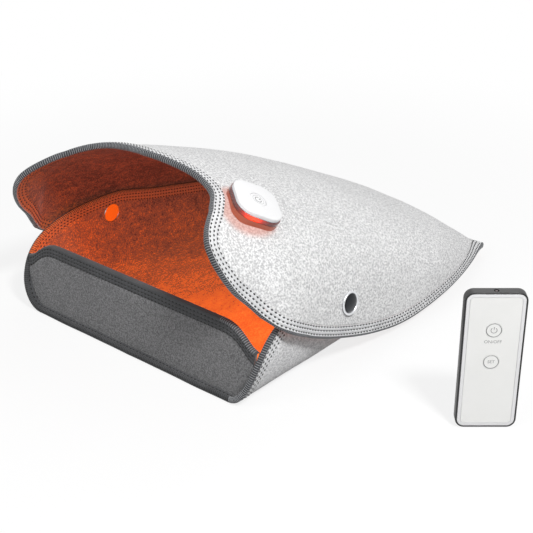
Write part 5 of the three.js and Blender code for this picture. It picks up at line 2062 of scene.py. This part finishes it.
@dataclass(frozen=True)
class Controller:
    """Rounded controller on the cover: lit ring, rim, cap and button."""

    place: Point = (0.11631, -0.15840, 0.17556)
    axis: Point = (0.48632, 0.24368, 0.83911)
    turn: float = -35.0
    lamp: Point = (0.1336, -0.1772, 0.1762)
    width: float = 0.051
    corner: float = 0.017
    wall: float = 0.0016
    button: float = 0.0088
    play: float = 0.00025
    step: float = 0.0008
    overrun: float = 0.0015
    ring_span: tuple[float, float] = (0.0027, 0.0066)
    ring_edge: float = 0.0005
    rim_span: tuple[float, float] = (0.00665, 0.00745)
    rim_edge: float = 0.0003
    cap_span: tuple[float, float] = (0.0075, 0.0110)
    cap_edge: float = 0.0011
    cap_ceiling: float = 0.0096
    inlet: Point = (0.0096, 0.008, 0.0037)
    inlet_height: float = 0.005
    button_low: float = 0.0083
    button_flange: float = 0.0093
    button_top: float = 0.0108
    button_outline: Outline = (
        (0.0, 0.0093), (0.0, 0.0105), (0.0002, 0.0108), (0.0006, 0.0110), (0.0015, 0.01105),
        (0.0040, 0.0109))
    sign_height: float = 0.01082
    circle_height: float = 0.01086
    print_thick: float = 0.00012
    segments: int = 14

    def build(self) -> None:
        """Makes the four visible parts and the symbol on the button."""
        matrix = standing(self.place, self.axis, self.turn)
        w, c, fine, over = self.width, self.corner, self.segments, self.overrun
        inner, inner_c, small = w - 2 * self.wall, c - self.wall, w - 2 * self.step
        low, high = self.ring_span
        ring = Bench.rounded_plate("controller_glow_ring", w, w, c, low, high, self.ring_edge, fine,
                                   True)
        Bench.recess(ring, inner, inner, inner_c, low - over, high + over, fine)
        Bench.clear()
        bpy.ops.mesh.primitive_cube_add(size=1, location=(0, w / 2, self.inlet_height),
                                        scale=self.inlet)
        Bench.hollow(ring, bpy.context.object)
        Bench.smoothed(ring)
        low, high = self.rim_span
        rim = Bench.rounded_plate("controller_pale_rim", small, small, c, low, high, self.rim_edge,
                                  fine, True)
        Bench.recess(rim, inner, inner, inner_c, low - over, high + over, fine)
        low, high = self.cap_span
        cap = Bench.rounded_plate("controller_top_cap", small, small, c, low, high, self.cap_edge,
                                  fine)
        Bench.recess(cap, inner - 0.001, inner - 0.001, inner_c, low - over, self.cap_ceiling, fine)
        r, hole = self.button, self.button + self.play
        Bench.hollow(cap, Bench.turned("tool", [
            (0, low - over), (hole, low - over), (hole, high + over), (0, high + over)]))
        Bench.smoothed(cap)
        flange = r + self.wall
        button = Bench.turned("controller_button_top", [
            (0.0, self.button_low), (flange, self.button_low), (flange, self.button_flange),
            *inset(r, self.button_outline), (0.0, self.button_top)])
        sign = Symbol.power("controller_button_sign", 0.0038, 0.0009, self.print_thick)
        Bench.placed(sign, Matrix.Translation((0, 0, self.sign_height)) @ Matrix.Rotation(
            math.radians(-self.turn), 4, "Z"))
        circle = Symbol.ring("controller_button_circle", 0.0066, 0.0008, self.print_thick)
        Bench.placed(circle, Matrix.Translation((0, 0, self.circle_height)))
        for piece in (ring, rim, cap, button, sign, circle):
            Bench.placed(piece, matrix)
        finished(ring, SmokedLens("smoked_lens", self.lamp), "cover",
                 ["controller_light_ring"])
        finished(rim, RIM_GREY, "cover")
        finished(cap, WHITE_SHELL, "cover", ["controller_cap"])
        finished(button, WHITE_SHELL, "controller_button", ["power_button"])
        finished(sign, PRINT_GREY, "controller_button")
        finished(circle, PRINT_GREY, "controller_button")


@dataclass(frozen=True)
class Remote:
    """Slim remote on its lower end: black shell, white face, two ringed keys, coin-cell door."""

    place: Point = (0.3405, -0.0894, 0.070)
    yaw: float = 40.6
    width: float = 0.056
    height: float = 0.140
    thick: float = 0.010
    corner: float = 0.0085
    wall: float = 0.0014
    face: float = 0.0018
    overlay: float = 0.0003
    border: float = 0.003
    key: float = 0.007
    key_places: tuple[float, float] = (0.1025, 0.070)
    key_flange: float = 0.001
    key_step: float = 0.0005
    key_soft: float = 0.00015
    door: float = 0.0135
    door_place: float = -0.036
    door_thick: float = 0.0012
    door_soft: float = 0.0003
    coin_slot: Point = (0.015, 0.0018, 0.0012)
    clearance: float = 0.0003
    overrun: float = 0.001
    shell_edge: float = 0.0008
    face_edge: float = 0.0003
    emitter: float = 0.0024
    emitter_height: float = 0.0053
    print_thick: float = 0.00008
    words_drop: float = 0.0118
    segments: int = 12

    @property
    def matrix(self) -> Matrix:
        """Place of the remote, built lying on its back."""
        return (Matrix.Translation(self.place) @ Matrix.Rotation(math.radians(self.yaw), 4, "Z")
                @ Matrix.Rotation(math.pi / 2, 4, "X"))

    def _keys(self) -> tuple[tuple[str, str, float], ...]:
        """Names, bodies and places of the two keys."""
        power, level = (place - self.height / 2 for place in self.key_places)
        return ("power", "power_key", power), ("set", "set_key", level)

    def _hole(self, piece: Piece, radius: float, y: float, low: float,
              high: float) -> None:
        """Cuts a round hole through a piece.

        Args:
            piece: The piece.
            radius: Radius of the hole.
            y: Its place up the remote.
            low: Where it starts.
            high: Where it ends.
        """
        tool = Bench.turned("tool", [(0, low), (radius, low), (radius, high), (0, high)])
        Bench.placed(tool, Matrix.Translation((0, y, 0)))
        Bench.hollow(piece, tool)

    def build(self) -> None:
        """Makes the shell, face, overlay, keys, print and battery door."""
        inner_w, inner_h = self.width - 2 * self.wall, self.height - 2 * self.wall
        inner_c, gap, top = self.corner - self.wall, self.clearance, self.thick
        fine, over = self.segments, self.overrun
        shell = Bench.rounded_plate("remote_shell_body", self.width, self.height, self.corner,
                                    0.0, top, self.shell_edge, fine, True)
        Bench.recess(shell, inner_w, inner_h, inner_c, self.wall, top + over, fine)
        self._hole(shell, self.door + gap, self.door_place, -over, self.wall + over)
        near, far = inner_h / 2 - over, self.height / 2 + over
        emitter = Bench.turned("tool", [(0, near), (self.emitter, near), (self.emitter, far),
                                        (0, far)], 24)
        Bench.placed(emitter, Matrix.Translation((0, 0, self.emitter_height))
                     @ Matrix.Rotation(-math.pi / 2, 4, "X"))
        Bench.hollow(shell, emitter)
        face_w, face_h, face_c = inner_w - 2 * gap, inner_h - 2 * gap, inner_c - gap
        face = Bench.rounded_plate("remote_front_face", face_w, face_h, face_c, top - self.face,
                                   top, self.face_edge, fine)
        edge, deep = self.border, self.overlay + gap
        Bench.recess(face, face_w - 2 * edge, face_h - 2 * edge, face_c - edge, top - deep,
                     top + over, fine)
        print_sheet = Bench.rounded_plate(
            "remote_printed_overlay", face_w - 2 * edge - 2 * gap, face_h - 2 * edge - 2 * gap,
            face_c - edge - gap, top - self.overlay, top, 0.0, fine)
        for piece in (face, print_sheet):
            for _, _, y in self._keys():
                self._hole(piece, self.key + gap, y, 0.0, top + over)
        for piece in (shell, face, print_sheet):
            Bench.smoothed(piece)
        pieces = [(shell, BLACK_SHELL, "base_of_remote", "black_plastic", ["remote_back_shell"]),
                  (face, WHITE_SHELL, "base_of_remote", "white_plastic", ["remote_face"]),
                  (print_sheet, OVERLAY, "base_of_remote", "grey_overlay", ["remote_overlay"])]
        for name, body, y in self._keys():
            pieces += self._key(name, body, y)
        words = Bench.lettering("remote_on_off_words", "ON/OFF", 0.0044, self.print_thick)
        Bench.placed(words, Matrix.Translation((
            0, self._keys()[0][2] - self.words_drop, top + self.print_thick / 4)))
        pieces.append((words, PRINT_GREY, "base_of_remote", "black_plastic", []))
        pieces.append(self._door())
        for piece, finish, body, slot, stands_for in pieces:
            Bench.placed(piece, self.matrix)
            finished(piece, finish, "base" if body == "base_of_remote" else body, stands_for)

    def _key(self, name: str, body: str, y: float) -> list[tuple]:
        """Makes one key, its printed ring and its mark.

        Args:
            name: power or set.
            body: The body it rides on.
            y: Its place up the remote.

        Returns:
            Pieces with finish, body, slot and nodes.
        """
        r, top = self.key, self.thick
        step, soft, thick, wide = self.key_step, self.key_soft, self.print_thick, r + self.key_flange
        low = top - self.face - self.clearance - step
        cap = Bench.turned(f"remote_{name}_key_cap", [
            (0.0, low), (wide, low), (wide, low + step), (r, low + step),
            (r, top - soft), (r - soft, top), (0.0, top)], 48)
        ring = Symbol.ring(f"remote_{name}_key_ring", r - 0.0001, 0.0006, thick)
        if name == "power":
            mark = Symbol.power("remote_power_key_sign", 0.0030, 0.0006, thick)
        else:
            mark = Bench.lettering("remote_set_key_word", "SET", 0.0042, thick)
        for piece, z in ((cap, 0.0), (ring, top), (mark, top + (thick / 2 if name == "set" else 0))):
            Bench.placed(piece, Matrix.Translation((0, y, z)))
        return [(cap, OVERLAY, body, "grey_overlay", [f"remote_{name}_key"]),
                (ring, PRINT_GREY, body, "black_plastic", []),
                (mark, PRINT_GREY, body, "black_plastic", [])]

    def _door(self) -> tuple:
        """Makes the coin-cell door with its slot.

        Returns:
            The piece with finish, body, slot and node.
        """
        r, soft, thick = self.door, self.door_soft, self.door_thick
        door = Bench.turned("remote_coin_door", [
            (0.0, 0.0), (r - soft, 0.0), (r, soft), (r, thick), (0.0, thick)])
        Bench.clear()
        bpy.ops.mesh.primitive_cube_add(size=1, location=(0, 0, 0), scale=self.coin_slot)
        Bench.hollow(door, bpy.context.object)
        Bench.placed(door, Matrix.Translation((0, self.door_place, 0)))
        return door, BLACK_SHELL, "battery_door", "black_plastic", ["remote_battery_door"]


@dataclass(frozen=True)
class Studio:
    """White sweep, soft light and the photo's camera."""

    eye: Point = (0.7976, -0.9327, 0.6263)
    azimuth: float = 40.6
    elevation: float = 26.4
    lens: float = 81.05
    sky: float = 0.24
    floor_size: float = 9.0
    floor_grey: Colour = (0.38, 0.38, 0.38)
    aim: Point = (0.05, -0.05, 0.08)
    lamps: tuple[tuple[str, Point, float, float], ...] = (
        ("front_softbox", (-0.2, -1.65, 1.25), 1.0, 9.8),
        ("back_softbox", (-0.5, 1.2, 1.5), 1.0, 5.0),
        ("right_softbox", (1.25, -0.50, 1.55), 0.3, 28.0))

    def build(self) -> None:
        """Makes the floor, world, lamps and camera."""
        scene = bpy.context.scene
        scene.view_settings.view_transform = "Standard"
        Bench.clear()
        bpy.ops.mesh.primitive_plane_add(size=self.floor_size, location=(0, 0, -0.0004))
        floor = bpy.context.object
        floor.name = "studio_floor"
        floor.data.materials.append(self._floor())
        scene.world = bpy.data.worlds.new("studio_world")
        sky = Paint("studio_sky", scene.world)
        sky.set(color=(1.0, 1.0, 1.0), strength=sky.node(
            "ShaderNodeMix", {"data_type": "FLOAT"}, {0: sky.seen(), 2: self.sky, 3: 1.0}))
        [self._lamp(*lamp) for lamp in self.lamps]
        self._camera()

    def _floor(self) -> bpy.types.Material:
        """Paints the floor white for the camera and keeps part of the shadow.

        Returns:
            The floor's material.
        """
        paint = Paint("studio_white")
        seen = paint.seen()
        tone = seen * 0.89 + paint.noise(1.2, 1.0) * 0.01
        colour = paint.mix(tone, self.floor_grey, (1.0, 1.0, 1.0))
        paint.set(base_color=colour, roughness=0.9, specular_ior_level=0.1)
        x, y, _ = paint.axes()
        far = ((x * x + y * y) ** 0.5).eased(0.25, 0.9)
        paint.show(paint.node("ShaderNodeMixShader", {}, {
            0: seen * (far * 0.20 + 0.80), 1: Reading(paint, paint.shader.outputs[0]),
            2: paint.node("ShaderNodeEmission", {}, {})}))
        return paint.material

    def _lamp(self, name: str, place: Point, size: float,
              power: float) -> Piece:
        """Hangs a square softbox that looks at the object.

        Args:
            name: Its name.
            place: Where it hangs.
            size: Its side.
            power: Watts.

        Returns:
            The lamp.
        """
        Bench.clear()
        bpy.ops.object.light_add(type="AREA", location=place)
        lamp = bpy.context.object
        lamp.name = name
        lamp.data.shape, lamp.data.size, lamp.data.energy = "SQUARE", size, power
        way = Vector(self.aim) - Vector(place)
        lamp.rotation_euler = way.to_track_quat("-Z", "Y").to_euler()
        return lamp

    def _camera(self) -> None:
        """Stands the camera where the photo was taken from."""
        Bench.clear()
        bpy.ops.object.camera_add(location=self.eye)
        camera = bpy.context.object
        camera.data.lens = self.lens
        camera.data.sensor_width = 36.0
        camera.rotation_euler = (math.radians(90 - self.elevation), 0, math.radians(self.azimuth))
        bpy.context.scene.camera = camera


def dress_nodes() -> None:
    """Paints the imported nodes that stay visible, by their material slots."""
    finishes: dict[str, Finish] = {
        "felt_light": FELT_SIDE, "felt_dark": FELT_DARK, "lining_red": LINING,
        "heater_film": FILM, "binding_light": TAPE_LIGHT, "binding_dark": TAPE_DARK,
        "stiffener": STIFFENER, "chrome": CHROME, "snap_orange": ORANGE_SNAP_REFLECTION, "steel": STEEL,
        "white_plastic": WHITE_SHELL, "smoke_plastic": SMOKE_SHELL, "light_lens": SMOKE_SHELL,
        "board_green": BOARD, "black_plastic": BLACK_SHELL, "grey_overlay": OVERLAY,
        "lead_black": BLACK_SHELL}
    slots = {part["node"]: part["material_slot"] for part in FRAME["record"]["subparts"]}
    for name, node in FRAME["nodes"].items():
        finish = RUST_PAN if name == "controller_pan" else finishes[slots.get(name, "black_plastic")]
        for slot in node.material_slots:
            slot.material = finish.make()


def main() -> None:
    """Builds the visual model from the base up and then the studio."""
    logging.basicConfig(level=logging.INFO, format="%(message)s")
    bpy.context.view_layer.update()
    dress_nodes()
    snap = Snap()
    trough, cover = TroughForm(), CoverForm()
    binding = Binding()
    base = Bound("base", "base", Panel(trough, 220, 56), FELT_SIDE, LINING, (0.466, 0.440),
                 dark_front=True)
    top = Bound("cover", "cover", Panel(cover, 240, 70), FELT_LIGHT, LINING_COVER,
                (0.62, 0.455), rounded=True, inner_tape=TAPE_WARM_COVER)
    base.build()
    FrontWall().build(trough, binding)
    top.build()
    RearFold().build()
    for side, name in ((1, "right"), (-1, "left")):
        snap.build(side, name)
    Controller().build()
    Remote().build()
    Studio().build()


if __name__ == "__main__":
    main()
